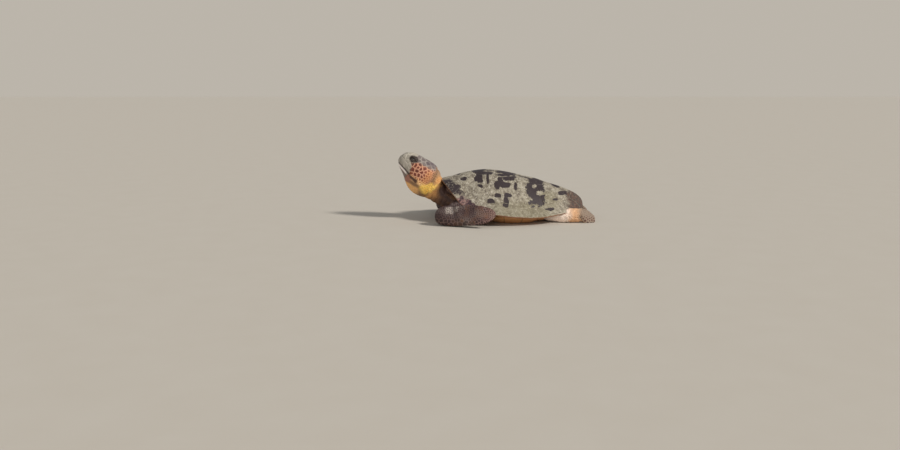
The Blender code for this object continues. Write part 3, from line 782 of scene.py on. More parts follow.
def bare_horn(points):
    """Where the crust has come off the shell, from 0 to 1."""
    x, y, z = points.T
    wander = 0.40 * rough(points, 0.017, 33, 3) + 0.34 * rough(points, 0.042, 36, 2)
    bare = np.zeros(len(points))
    left = x > 0.0
    for i, place in enumerate(SIDE_PATCHES):
        bare = np.maximum(bare, patch(y, z, place, wander) * left)
        if i % 4 != 1:
            moved = (0.03 - 0.9 * place[0], place[1] - 0.2 * abs(place[0]), place[2] * 1.3, place[3] * 1.2)
            bare = np.maximum(bare, patch(y, z, moved, wander) * ~left)
    for place in TOP_PATCHES:
        bare = np.maximum(bare, patch(x, y, place, wander))
    for place in CRUST_LEFT:
        bare = bare * (1 - patch(y, z, place, wander) * left)
    ridge = (1 - ease(np.abs(x - 0.035), 0.006, 0.018)) * ease(y, -0.30, -0.22) * (1 - ease(y, 0.10, 0.2))
    bare = np.maximum(bare, 0.55 * ridge)
    return np.maximum(bare, 0.62 * front_rim(points) * ease(z, 0.13, 0.19))


def front_rim(points):
    """1 along the shell's front edge, 0 a hand's breadth behind it."""
    x, y, z = points.T
    behind = y + 0.409 - 0.95 * np.clip(0.248 - z, -0.02, 0.25)
    return (1 - ease(behind + 0.02 * rough(points, 0.03, 34, 2), 0.025, 0.075)) * ease(np.abs(x), 0.03, 0.09)


# ---------------- making the scutes


def sheet_with_back(name, front, back, faces, bulge):
    """A closed piece from an open face and its copy further in, joined round the edge by a wall that
    bulges out by its own amount at each point. Also returns which point of the face each comes from."""
    count = len(front)
    rim = open_edges(faces)
    start, end = rim.T
    way = np.cross(front[end] - front[start], front[start] - back[start])
    outward = unit(np.stack([np.bincount(rim.ravel(), np.repeat(v, 2), count) for v in way.T], 1))
    edge = np.unique(rim)
    points, rows = [front, back], [np.arange(count)]
    for row in range(1, WALL_ROWS + 1):
        share = row / (WALL_ROWS + 1)
        lift = (bulge[edge] * math.sin(math.pi * share))[:, None]
        points.append(front[edge] * (1 - share) + back[edge] * share + outward[edge] * lift)
        column = np.zeros(count, int)
        column[edge] = 2 * count + (row - 1) * len(edge) + np.arange(len(edge))
        rows.append(column)
    rows.append(count + np.arange(count))
    parts = [faces, faces[:, ::-1] + count]
    for high, low in zip(rows, rows[1:]):
        a, b, c, d = high[start], high[end], low[end], low[start]
        parts += [np.stack((b, a, d), 1), np.stack((b, d, c), 1)]
    where = np.concatenate([np.arange(count), np.arange(count)] + [edge] * WALL_ROWS)
    return mesh_object(name, np.concatenate(points), np.concatenate(parts)), where


def make_scutes():
    """A smooth, worn scute in the place of each of the carapace's solids. Returns the shell's closed
    surface as a search tree, which the skin is kept clear of."""
    points, faces, inward = fine_dome()
    normals = normals_of(points, faces)
    back = points - normals * SHELL_THICKNESS
    rim = open_edges(faces)
    wall = np.stack((rim[:, 1], rim[:, 0], rim[:, 0] + len(points)), 1)
    wall_too = np.stack((rim[:, 1], rim[:, 0] + len(points), rim[:, 1] + len(points)), 1)
    closed = np.concatenate([faces, faces[:, ::-1] + len(points), wall, wall_too])
    tree = tree_of(np.concatenate([points, back]), closed)

    warp = np.stack([rough(points, 0.05, seed, 2) for seed in (3, 4)], 1) * 0.0012
    places = points[:, :2] + warp
    swell = rough(points, 0.11, 7, 2) * 0.0016
    bare = bare_horn(points)
    crust = 1 - bare
    grit = rough(points, 0.007, 11, 2) * 0.00035 * crust
    for name, (outline, open_side) in scute_outlines().items():
        depth = inside_outline(places, outline, open_side) - SCUTE_GAP
        cut_faces, keys, shares = cut_out(faces, depth)
        depth = np.maximum(blended(depth, keys, shares), 0)
        normal = unit(blended(normals, keys, shares))
        edge = ease(blended(inward, keys, shares), 0, 0.05)
        relief = SCUTE_MOUND * ease(depth, 0, 0.07) - RIM_DROP * (1 - edge)
        relief -= SCUTE_EDGE_DROP * (1 - ease(depth, 0, 0.0050))
        rings = GROWTH_RING * np.sin(depth / GROWTH_RING_EVERY * 2 * math.pi)
        relief += rings * ease(depth, 0.003, 0.012) * (1 - ease(depth, 0.03, 0.05))
        relief += blended(swell + grit + CRUST_THICKNESS * crust, keys, shares)
        front = blended(points, keys, shares) + normal * relief[:, None]
        rear = blended(back, keys, shares)
        on_rim = (blended(inward, keys, shares) < 1e-6).astype(float)
        piece, where = sheet_with_back(name + "_horn", front, rear, cut_faces, on_rim * RIM_BULGE)
        growth = growth_flow(front, outline)
        set_values(piece, where, bare=blended(bare, keys, shares), depth=depth, growth=growth)
        set_values(piece, wall=np.arange(len(where)) >= len(front))
        set_values(piece, where, **shell_zones(front))
        finish_piece(piece, "shell_horn", "scute", name)
    return tree


def growth_flow(points, outline):
    """Coordinates that run round and out from the place where a scute began to grow, so that streaks
    drawn in them fan out over it."""
    middle = np.mean(outline, axis=0)
    inward = unit(DOME_TOP[:2] - middle) if math.dist(middle, DOME_TOP[:2]) > 0.02 else np.array((0.0, 1.0))
    span = max(math.dist(corner, middle) for corner in outline)
    start = middle + (inward * 0.55 + np.array((0.0, 0.35))) * span
    away = points[:, :2] - start
    outward = unit(middle - start)
    sideways = np.array((-outward[1], outward[0]))
    turn = np.arctan2(away @ sideways, away @ outward)
    return np.column_stack((turn * 0.20, np.linalg.norm(away, axis=1), np.full(len(away), middle.sum())))


def shell_zones(points):
    """Where algae make the shell green, where it is worn red-brown and where it is raw pink."""
    _, y, z = points.T
    low = 1 - ease(z, 0.10, 0.16)
    green = low * ease(y, -0.20, -0.08) * (1 - ease(y, 0.16, 0.26))
    green = np.maximum(green, spot(points, (0.20, 0.225, 0.165), (0.09, 0.075, 0.07), 0.6, 71))
    red = ease(y, 0.275, 0.345) * (1 - ease(z, 0.15, 0.21)) * 0.95 + 0.30 * rough(points, 0.03, 72, 2)
    pink = front_rim(points) * (1 - ease(z, 0.13, 0.19))
    pink = pink + 0.25 * rough(points, 0.025, 73, 2)
    return {"green": green, "red": np.clip(red, 0, 1), "pink": np.clip(pink, 0, 1)}


def finish_piece(piece, material, slot, *nodes):
    """Gives a piece its material, hangs it under the root body and hides the solids that it stands for. The
    slot is not used.
    """
    piece.data.materials.clear()
    piece.data.materials.append(MATERIALS[material])
    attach(piece, "root")
    if nodes:
        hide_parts(*nodes)


# ---------------- the plastron


def make_plastron():
    """The belly shell: a shallow dish with the seams of its scutes pressed in."""
    columns, rows = PLASTRON_GRID
    angles = 360 * np.arange(columns) / columns
    stations = np.array([between(PLASTRON_STATIONS, min(a, 360 - a)) for a in angles])
    turn = np.radians(angles)
    shares = np.arange(1, rows + 1)[:, None] / rows
    lift = stations[:, 1] * np.maximum(0, (shares - 0.7) / 0.3) ** 1.6
    reach = stations[:, 0] * shares
    rings = np.stack((np.sin(turn) * reach, -np.cos(turn) * reach, lift), -1)
    points = np.concatenate([np.zeros((1, 3)), rings.reshape(-1, 3)])
    k = np.arange(columns)
    fan = np.stack((0 * k, 1 + k, 1 + (k + 1) % columns), 1)
    faces = np.concatenate([fan, grid_faces(rows, columns) + 1])
    if normals_of(points, faces)[0, 2] > 0:
        faces = faces[:, ::-1]
    x, y, _ = points.T
    wander = rough(points, 0.05, 21, 2) * 0.004
    seams = np.abs(x + wander * 0.6)
    for at in PLASTRON_SEAMS:
        bend = 0.012 * np.cos(x / 0.06) * (1 if at < 0 else -1)
        seams = np.minimum(seams, np.abs(y - at + bend + wander))
    bridge = np.abs(np.abs(x) - PLASTRON_BRIDGE + wander)
    seams = np.where(np.abs(y) < 0.16, np.minimum(seams, bridge), seams)
    seam = 1 - ease(seams, 0.0008, 0.0036)
    relief = rough(points, 0.09, 22, 2) * 0.0008 - seam * SEAM_DEPTH
    normal = normals_of(points, faces)
    level = ease(points[:, 2], 0.0, 0.004)
    front = points - normal * 0.0006 + normal * (relief * (0.35 + 0.65 * level))[:, None]
    front[:, 2] = np.maximum(front[:, 2], 0.0002)
    back = points + np.array((0, 0, PLASTRON_THICKNESS))
    piece, where = sheet_with_back("plastron_horn", front, back, faces, np.full(len(points), 0.003))
    set_values(piece, where, seam=seam)
    finish_piece(piece, "plastron_horn", "plastron", "plastron")
    return tree_of(np.concatenate([points, back]), np.concatenate([faces, faces[:, ::-1] + len(points)]))


# ---------------- the body's forms


def head_and_neck(steps=6, count=84):
    """Rings of the head and neck from the beak tip to inside the shell."""
    rings = []
    for back, half_width, crown, chin in through(HEAD_SECTIONS, steps):
        middle = crown - WIDEST_LEVEL * (crown - chin)
        heights = crown - middle, middle - chin
        centre = head_place(back, middle)
        rings.append(oval(centre, LEFTWARD, UPWARD, half_width, *heights, HEAD_FULLNESS, count))
    return np.array(rings)


def blade(side, start, end, tilt, sections, sweep):
    """A flipper's rings from start to end, with its start and its directions. Sections give the share
    of the way, the half chord and the half thickness; sweep bends the far end back."""
    start, end = np.array(start), np.array(end)
    along = unit(end - start)
    level = unit(np.array((along[1], -along[0], 0)))
    level = -level if level[0] < 0 else level
    lead = unit(level * math.cos(tilt) - ABOVE * math.sin(tilt))
    dorsal = unit(np.cross(along, lead))
    dorsal = -dorsal if dorsal[2] < 0 else dorsal
    rings = []
    for share, chord, thickness in through(sections, 6):
        centre = start + (end - start) * share - lead * (sweep * share**2)
        rings.append(oval(centre, lead, dorsal, chord, thickness, thickness, 1.9, 64))
    mirror = np.array((side, 1, 1))
    return np.array(rings) * mirror, [way * mirror for way in (start, along, lead, dorsal)]


def body_parts():
    """The soft body's parts as closed meshes, each a little swollen so that neighbours join."""
    parts = {"head": lofted(head_and_neck())}
    for side, word in SIDES:
        for name, *shape in BLADES:
            rings, FLIPPER_FRAMES[f"{name}_{word}"] = blade(side, *shape)
            parts[f"{name}_{word}"] = lofted(rings)
    for name, stations in (("breast", BREAST), ("nape", NAPE)):
        rings = []
        for along, height, half_width, half_height in through(stations, 5):
            centre = np.array((0.0, along, height))
            rings.append(oval(centre, LEFTWARD, ABOVE, half_width, half_height, half_height, 2.2, 72))
        parts[name] = lofted(np.array(rings))
    for name in ("trunk", "tail", "upper_arm_left", "upper_arm_right", "thigh_left", "thigh_right"):
        points, faces = node_arrays(name)
        parts[name] = (points + normals_of(points, faces) * FORM_SWELL, faces)
    return parts


def remeshed(points, faces):
    """One even skin of squares round everything given."""
    lump = mesh_object("rough_body", points, faces)
    data = changed_by(lump, "REMESH", mode="VOXEL", voxel_size=SKIN_VOXEL)
    bpy.data.objects.remove(lump)
    return points_of(data), read(data.loops, "vertex_index").reshape(-1, 4)


def nearest_on(tree, points, reach):
    """For each point, the nearest place on a surface, the surface's normal there and the distance."""
    places, normals, distances = points.copy(), np.zeros_like(points), np.full(len(points), reach)
    for i, point in enumerate(points):
        place, normal, _, distance = tree.find_nearest(point, reach)
        if place is not None:
            places[i], normals[i], distances[i] = place, normal, distance
    return places, normals, distances


def kept_clear(points, tree):
    """Moves points off a closed surface, so that they stay the skin's clearance outside it."""
    reach = 5 * SKIN_CLEARANCE
    places, normals, distances = nearest_on(tree, points, reach)
    height = np.einsum("ij,ij->i", points - places, normals)
    short = (distances < reach) & (height < SKIN_CLEARANCE)
    return np.where(short[:, None], places + normals * SKIN_CLEARANCE, points)


def split_squares(faces):
    return np.concatenate([faces[:, [0, 1, 2]], faces[:, [0, 2, 3]]])


def line_distance(back, height, line):
    """How far points of the head's profile lie from a line of several points, and the nearest point's
    share along the line."""
    place = np.stack((back, height), -1)
    best, along_best, total = np.full(back.shape, 9.0), np.zeros(back.shape), len(line) - 1
    for i, (start, end) in enumerate(zip(np.array(line), np.array(line)[1:])):
        way = end - start
        share = np.clip((place - start) @ way / (way @ way), 0, 1)
        distance = np.linalg.norm(place - start - share[..., None] * way, axis=-1)
        along_best = np.where(distance < best, (i + share) / total, along_best)
        best = np.minimum(best, distance)
    return best, along_best


def in_profile(back, height, outline):
    """How far points of the head's profile lie inside a closed outline; below 0 outside it."""
    ring = [*outline, outline[0]]
    distance, _ = line_distance(back, height, ring)
    crossings = np.zeros(back.shape, int)
    for (a0, h0), (a1, h1) in zip(ring, ring[1:]):
        spans = (h0 > height) != (h1 > height)
        crossings += spans & (back < a0 + (height - h0) / np.where(h1 == h0, 1e-9, h1 - h0) * (a1 - a0))
    return np.where(crossings % 2 == 1, distance, -distance)


def eye_frame(side):
    """The middle of an eye and its directions: along the head, up and out."""
    centre = head_place(EYE_PLACE[0], EYE_PLACE[1], side * EYE_PLACE[2])
    out = unit(LEFTWARD * side + UPWARD * 0.30 - BACKWARD * 0.26)
    along = unit(BACKWARD - out * (BACKWARD @ out))
    up = unit(np.cross(along, out)) * side
    up = up if up @ UPWARD > 0 else -up
    return centre, along, up, out


def lid_radius(points, side):
    """How far points lie from an eye's middle, in lid reaches, on the eye's side of the head."""
    centre, along, up, out = eye_frame(side)
    offset = points - centre
    flat = np.hypot(offset @ along / LID_REACH[0], offset @ up / LID_REACH[1])
    return np.where((offset @ out > 0) & (points[:, 0] * side > 0), flat, 9.0)


def from_nostril(points, side):
    """How far points lie from the nostril on one side."""
    back, height, across = NOSTRIL_PLACE
    return np.linalg.norm(points - head_place(back, height, side * across), axis=1)


def inside_beak(back, height):
    """How far points of the head's profile lie inside either half of the beak; below 0 outside."""
    return np.maximum(in_profile(back, height, UPPER_BEAK), in_profile(back, height, LOWER_BEAK))


def elbow_crease(points, name):
    """1 along the fold where a flipper's blade bends back from its elbow."""
    start, along, lead, _ = FLIPPER_FRAMES[name]
    offset = points - start
    slant = offset @ along - 0.066 - 0.30 * (offset @ lead) + 0.006 * rough(points, 0.03, 66)
    return np.exp(-((slant / 0.015) ** 2)) * ease(-(offset @ lead), -0.05, 0.02)


def hill(across, middle, reach):
    """A round hump over several coordinates: 1 at its middle, and 0 well past its reach."""
    return np.exp(-sum(((a - m) / r) ** 2 for a, m, r in zip(across, middle, reach)))


def sculpted_head(points, on_head):
    """How far the head's and neck's surface is moved out: cheeks, brows, jaw line, folds and throat."""
    back, height, across = in_head(points)
    mouth, _ = line_distance(back, height, MOUTH_LINE[2:])
    jaw = (1 - ease(mouth, 0.0, 0.006)) * ease(back, 0.085, 0.10) * (1 - ease(back, 0.135, 0.16))
    cheek = hill((back, height), (0.150, -0.010), (0.030, 0.040))
    brow = hill((back, height), (0.072, 0.078), (0.034, 0.010)) * (np.abs(across) > 0.015)
    under_beak = ease(inside_beak(back, height), -0.0010, 0.0022)
    neck = ease(back, 0.205, 0.245)
    wave = back + 0.10 * height + 0.010 * rough(points, 0.06, 61, 2)
    folds = np.abs(np.sin(wave * math.pi / 0.030)) ** 0.55
    nape = hill((back,), (0.232,), (0.010,)) * ease(height, -0.04, 0.04)
    throat = ease(-height, 0.070, 0.100) * ease(back, 0.085, 0.110) * (1 - on_head * neck)
    shift = CHEEK_HEIGHT * cheek + BROW_HEIGHT * brow - JAW_LINE_DEPTH * jaw
    shift -= BEAK_STEP * under_beak + NAPE_DEPTH * nape
    shift += (NECK_FOLD_HEIGHT * (folds - 0.75) - NECK_CREASE_DEPTH * creases_of(points)) * neck
    shift += THROAT_ROUGHNESS * throat * rough(points, 0.020, 63, 2)
    return shift * on_head


def creases_of(points):
    """1 in the fine creases of slack skin."""
    return 1 - ease(np.abs(rough(points * (1.0, 1.6, 1.0), 0.016, 62, 2)), 0.0, 0.20)


def sculpted(points, normals, part):
    """Gives the smooth body its eye hollows, brows, cheeks, jaw line, neck folds and flipper ribs."""
    back, _, _ = in_head(points)
    on_head = (part == "head").astype(float) * (1 - ease(back, 0.33, 0.40))
    shift = sculpted_head(points, on_head)
    loose = (part == "trunk") | np.char.startswith(part, "upper_arm") | np.char.startswith(part, "thigh")
    sway = points[:, 0] * 0.5 + points[:, 1] + 0.016 * rough(points, 0.045, 64, 2)
    pleats = np.abs(np.sin(sway * 105)) ** 0.6 * (0.6 + 0.8 * rough(points, 0.04, 65))
    shift += loose * (PLEAT_HEIGHT * (pleats - 0.5) - PLEAT_CREASE_DEPTH * creases_of(points))
    for name, (start, along, lead, _) in FLIPPER_FRAMES.items():
        ahead, across = (points - start) @ along, (points - start) @ lead
        fan = np.arctan2(across, ahead + 0.06) * 5.2
        ribs = np.sin(fan * math.pi) * ease(ahead, 0.02, 0.10) * (1 - ease(ahead, 0.24, 0.29))
        bend = elbow_crease(points, name) * name.startswith("front")
        shift += (part == name) * (FINGER_HEIGHT * ribs - ELBOW_FOLD_DEPTH * bend)
    shift -= SCALE_RISE * (part != "trunk")
    points = points + normals * shift[:, None]
    for side, _ in SIDES:
        sunk = (1 - ease(lid_radius(points, side), 0.55, 1.05)) * on_head
        points = points - eye_frame(side)[3] * (EYE_HOLLOW * sunk)[:, None]
    for side in (-1, 1):
        sunk = 1 - ease(from_nostril(points, side), 0.0015, 0.0055)
        points = points + unit(BACKWARD - UPWARD * 0.4) * (NOSTRIL_DEPTH * sunk)[:, None]
    return points


def make_skin(shell_tree, plastron_tree):
    """The soft body as one skin. Returns its points, squares, normals and the part each lies on."""
    parts = body_parts()
    points, faces, total = [], [], 0
    for part_points, part_faces in parts.values():
        points.append(part_points)
        faces.append(part_faces + total)
        total += len(part_points)
    points, squares = largest_body(*remeshed(np.concatenate(points), np.concatenate(faces)))
    names = list(parts)
    distances = np.stack([nearest_on(tree_of(*parts[name]), points, 0.05)[2] for name in names], 1)
    part = np.array(["trunk" if name in ("breast", "nape") else name for name in names])[distances.argmin(1)]
    second = np.sort(distances, axis=1)[:, 1]
    edges = edges_of(squares)
    joint = 1 - ease(second, 0.002, 0.014)
    faceted = ~((part == "head") | np.isin(part, list(FLIPPER_FRAMES)))
    points = smoothed(points, edges, 4)
    points = smoothed(points, edges, 30, np.maximum(joint, faceted * 1.0))
    shoulder = ease(in_head(points)[0], 0.300, 0.345) * (points[:, 1] < -0.2) * (np.abs(points[:, 0]) < 0.2)
    points = smoothed(points, edges, 90, shoulder)
    normals = normals_of(points, split_squares(squares))
    points = sculpted(points, normals, part)
    points = smoothed(points, edges, 1, 0.6)
    for tree in (shell_tree, plastron_tree):
        points = kept_clear(points, tree)
    points[:, 2] = np.maximum(points[:, 2], SKIN_CLEARANCE)
    normals = normals_of(points, split_squares(squares))
    return points, squares, normals, part


def visible_skin(points, normals, part, shell_tree):
    """Which skin points the shell doesn't hide."""
    shown = np.ones(len(points), bool)
    for i in np.flatnonzero(part == "trunk"):
        start = points[i] + normals[i] * 0.0015
        shown[i] = shell_tree.ray_cast(start, normals[i], 0.03)[0] is None
    return shown


# ---------------- colours of the body


def head_layers(points):
    """The colours of head and neck in the order in which they are laid, and where the cheek is pale."""
    back, height, _ = in_head(points)
    wander = 0.012 * rough(points, 0.030, 81, 2)
    a, h = back + wander, height + 0.7 * wander
    crown = ease(h, 0.045, 0.066) * (1 - ease(a, 0.20, 0.235))
    cheek = ease(a, 0.080, 0.096) * (1 - ease(a, 0.205, 0.235)) * ease(h, -0.062, -0.050) * (1 - crown)
    low_cheek = ease(-h, 0.020, 0.060) * ease(a, 0.085, 0.105) * (1 - ease(a, 0.20, 0.24)) * cheek
    behind = ease(a, 0.160, 0.195) * ease(-h, -0.060, -0.035) * (1 - crown) * cheek
    bruise = ease(h, 0.055, 0.075) * ease(a, 0.145, 0.160) * (1 - ease(a, 0.205, 0.225))
    snout = (1 - ease(a, 0.070, 0.095)) * ease(h, -0.03, 0.0)
    bulge = ease(-h, 0.072, 0.090) * (1 - ease(a, 0.17, 0.21))
    chin = (1 - ease(a, 0.112, 0.130)) * ease(-h, 0.036, 0.046) * (1 - ease(-h, 0.076, 0.088))
    # A dark wedge that carries the mouth line back past the beak: the dark skin of the mouth's corner, with
    # painted shade of its crease laid in with it.
    wedge, way = line_distance(back, height, ((0.090, -0.036), (0.120, -0.047), (0.146, -0.050)))
    wedge = wedge + 0.004 * rough(points, 0.014, 86, 2)
    mouth_corner_and_shade = 1 - ease(wedge, 0.002 + 0.005 * way, 0.007 + 0.008 * way)
    throat = spot(points, (0.0, -0.507, 0.190), (0.14, 0.058, 0.046), 0.70, 82)
    neck = ease(a, 0.225, 0.265) * (1 - 0.9 * throat)
    # Painted shade: the neck is darkened, with a ragged edge, towards where it goes in under the shell's
    # front edge.
    dark = np.clip(ease(a, 0.262, 0.315) + 0.40 * rough(points, 0.035, 83, 2), 0, 1) * neck
    nape = ease(h, 0.025, 0.060) * (1 - ease(a, 0.27, 0.31)) * neck
    layers = [
        (cheek, (112, 54, 37), (204, 148, 118)),
        (behind, (164, 96, 62), (206, 146, 98)),
        (low_cheek, (230, 150, 84), (255, 212, 150)),
        (crown, (114, 103, 99), (156, 146, 138)),
        (bruise * 0.8, (92, 79, 82), (122, 110, 108)),
        (snout, (164, 156, 142), (186, 178, 164)),
        (bulge, (216, 156, 92), (236, 184, 120)),
        (chin, (146, 96, 80), (166, 116, 98)),
        (mouth_corner_and_shade, (74, 50, 40), (96, 66, 50)),
        (throat, (255, 178, 58), (255, 216, 112)),
        (neck * 0.9, (204, 138, 76), (224, 166, 100)),
        (dark, (60, 41, 38), (84, 59, 50)),
        (nape * 0.9, (106, 94, 88), (132, 119, 110)),
    ]
    below_eye = ease(-(height - EYE_PLACE[1]), 0.006, 0.016)
    for side, _ in SIDES:
        lids = (1 - ease(lid_radius(points, side), 0.98, 1.24)) * (1 - below_eye)
        # Painted shade: the nostril's shallow pit is painted nearly black.
        nostril_shade = 1 - ease(from_nostril(points, side), 0.0030, 0.0050)
        layers += [(lids, (76, 66, 62), (92, 80, 74)), (nostril_shade, (36, 28, 26), (36, 28, 26))]
    return layers, low_cheek


def arm_layers(points, part, arm):
    """The colours of upper arms and front flippers: dark, dusted with sand, redder at the tip, and with
    painted shade along the fold at each elbow.
    """
    _, y, z = points.T
    tip = arm * ease(y, -0.25, -0.13) * 0.8
    leading = arm * ease(0.06 - z, 0.0, 0.03) * 0.6
    sandy = spot(points, (0.335, -0.374, 0.104), (0.07, 0.040, 0.032), 1.0, 84)
    sandy = np.maximum(sandy, spot(points, (-0.335, -0.360, 0.115), (0.07, 0.040, 0.024), 1.0, 85))
    dust = np.clip(0.40 * rough(points, 0.045, 87, 3) + 0.02, 0, 0.3)
    layers = [
        (arm, (49, 34, 37), (91, 69, 66)),
        (leading, None, (134, 106, 98)),
        (tip, (112, 66, 58), (166, 128, 116)),
        (arm * np.maximum(sandy * 0.95, dust), (164, 152, 143), (192, 181, 171)),
    ]
    for _, word in SIDES:
        name = "front_flipper_" + word
        # Painted shade: the skin is darkened along the fold where the blade bends back from the elbow.
        crease_shade = elbow_crease(points, name) * (part == name) * 0.75
        layers.append((crease_shade, (34, 24, 26), (46, 33, 33)))
    return layers


def rear_layers(points, part, arm):
    """The colours of thighs, hind flippers and tail, and of the trunk ahead of them."""
    _, y, z = points.T
    rear = ((y > 0.10) & ~arm).astype(float)
    way = y + 0.030 * rough(points, 0.035, 88, 2) + 0.25 * (z - 0.04)
    foot = rear * (part != "tail") * ease(way, 0.365, 0.415)
    # The first layer is pale sand-dusted skin, painted paler still as painted light where the sun lights the
    # hind limb.
    return [
        (rear, (232, 200, 180), (250, 234, 220)),
        (ease(way, 0.285, 0.345) * rear, (204, 150, 106), (226, 182, 142)),
        (rear * (part == "tail"), (122, 98, 82), (160, 136, 114)),
        (foot, (110, 88, 74), (150, 132, 114)),
        (foot * (1 - ease(z, 0.02, 0.06)), (92, 58, 48), None),
        ((part == "trunk") & (way < 0.05), (84, 62, 54), (112, 86, 72)),
    ]


def body_colours(points, part):
    """The colour of scales' middles and of the skin between them, place by place, and how broad a
    scale's pale margin is there."""
    arm = np.char.startswith(part, "front_flipper") | np.char.startswith(part, "upper_arm")
    on_head, pale_cheek = head_layers(points)
    brown = (np.ones(len(points)), (112, 82, 58), (150, 116, 84))
    layers = [brown, *on_head, *arm_layers(points, part, arm), *rear_layers(points, part, arm)]
    return *painted(layers), np.where(arm, 0.0009, 0.0022 + 0.0016 * pale_cheek)


def set_skin(piece, centre, margin, width, edge, where=slice(None)):
    """Stores what the skin's material reads: two colours, how broad the margin is and how far each
    point lies inside its scale."""
    set_values(piece, where, centre=centre, margin=margin, margin_width=width, edge=edge)


# ---------------- beak and eyes


def beak_layers(points, lower):
    """The two tones between which the beak's streaks run: olive; pale at the lower half's lip, painted near
    white there as a painted highlight of its lit edge; dark along the mouth, where the biting edge's dark
    horn and painted shade of the mouth's gap are laid in together; and dark low on the chin."""
    back, height, _ = in_head(points)
    at_mouth, _ = line_distance(back, height, (*MOUTH_LINE[:3], SHEATH_END))
    ahead = np.maximum(back, 0)
    low = ease(at_mouth, 0.012, 0.022) * lower
    # Painted highlight: the lip's pale horn is painted near white, as its wet edge looks in sunlight.
    lip = ease(at_mouth, 0.0025, 0.0045) * (1 - ease(at_mouth, 0.013, 0.018)) * lower
    lip = lip * ease(back, 0.004, 0.016) * (1 - ease(back, 0.066, 0.082))
    # The dark biting edge, with painted shade of the gap between the beak's halves laid in with it.
    dark_edge_and_shade = 1 - ease(at_mouth, 0.0022 + 0.022 * ahead, 0.0050 + 0.030 * ahead)
    return (
        (np.ones(len(points)), (158, 149, 135), (192, 183, 169)),
        (low, (110, 90, 84), (136, 114, 106)),
        (low * ease(back, 0.050, 0.075), (86, 68, 58), None),
        (lip, (246, 232, 226), (252, 246, 240)),
        (ease(back, 0.070, 0.090) * 0.7, (126, 108, 92), (150, 130, 114)),
        (dark_edge_and_shade * 0.9, (56, 42, 38), (64, 50, 44)),
    )


def make_beaks():
    """The two halves of the horny beak, as shells over the tip of the head."""
    rings = head_and_neck(14, 260)
    rings = rings[in_head(rings.mean(1))[0] < 0.115]
    points, faces = welded(*lofted(rings), 1e-6)
    normals = normals_of(points, faces)
    back, height, _ = in_head(points)
    for name, outline, lift in (("beak_upper", UPPER_BEAK, 0.0006), ("beak_lower", LOWER_BEAK, -0.0008)):
        depth = in_profile(back, height, outline) - 0.0004
        cut_faces, keys, shares = cut_out(faces, depth)
        base, normal = blended(points, keys, shares), unit(blended(normals, keys, shares))
        depth = blended(np.maximum(depth, 0), keys, shares)
        edge = ease(depth, 0, 0.0024)
        relief = lift - 0.0012 * (1 - edge) + 0.0003 * rough(base, 0.012, 91, 2)
        front = base + normal * relief[:, None]
        rear = base - normal * 0.0040
        piece, where = sheet_with_back(name + "_horn", front, rear, cut_faces, np.zeros(len(base)))
        colours = painted(beak_layers(base, name == "beak_lower"))
        set_values(piece, where, centre=colours[0], margin=colours[1])
        finish_piece(piece, "beak_horn", "beak", name)


def make_eyes(skin_tree):
    """Wet eyeballs and the heavy lids round them."""
    for side, word in SIDES:
        centre, along, up, out = eye_frame(side)
        rings = []
        for polar in np.linspace(0.02, math.pi - 0.02, 44):
            bulge = EYE_RADIUS * (1 + 0.03 * math.exp(-((polar / 0.5) ** 2)))
            middle, reach = centre + out * (bulge * math.cos(polar)), bulge * math.sin(polar)
            rings.append(oval(middle, along, up, reach, reach, reach, 2.0, 72))
        points, faces = lofted(rings)
        ball = mesh_object("eyeball_" + word, points, faces)
        offset = points - centre
        across = np.linalg.norm(offset - np.outer(offset @ out, out), axis=1)
        set_values(ball, iris=np.where(offset @ out > 0, across / IRIS_RADIUS, 1.5))
        finish_piece(ball, "wet_eye", "eye", "eye_" + word)
        make_lids(word, centre, along, up, out, skin_tree)


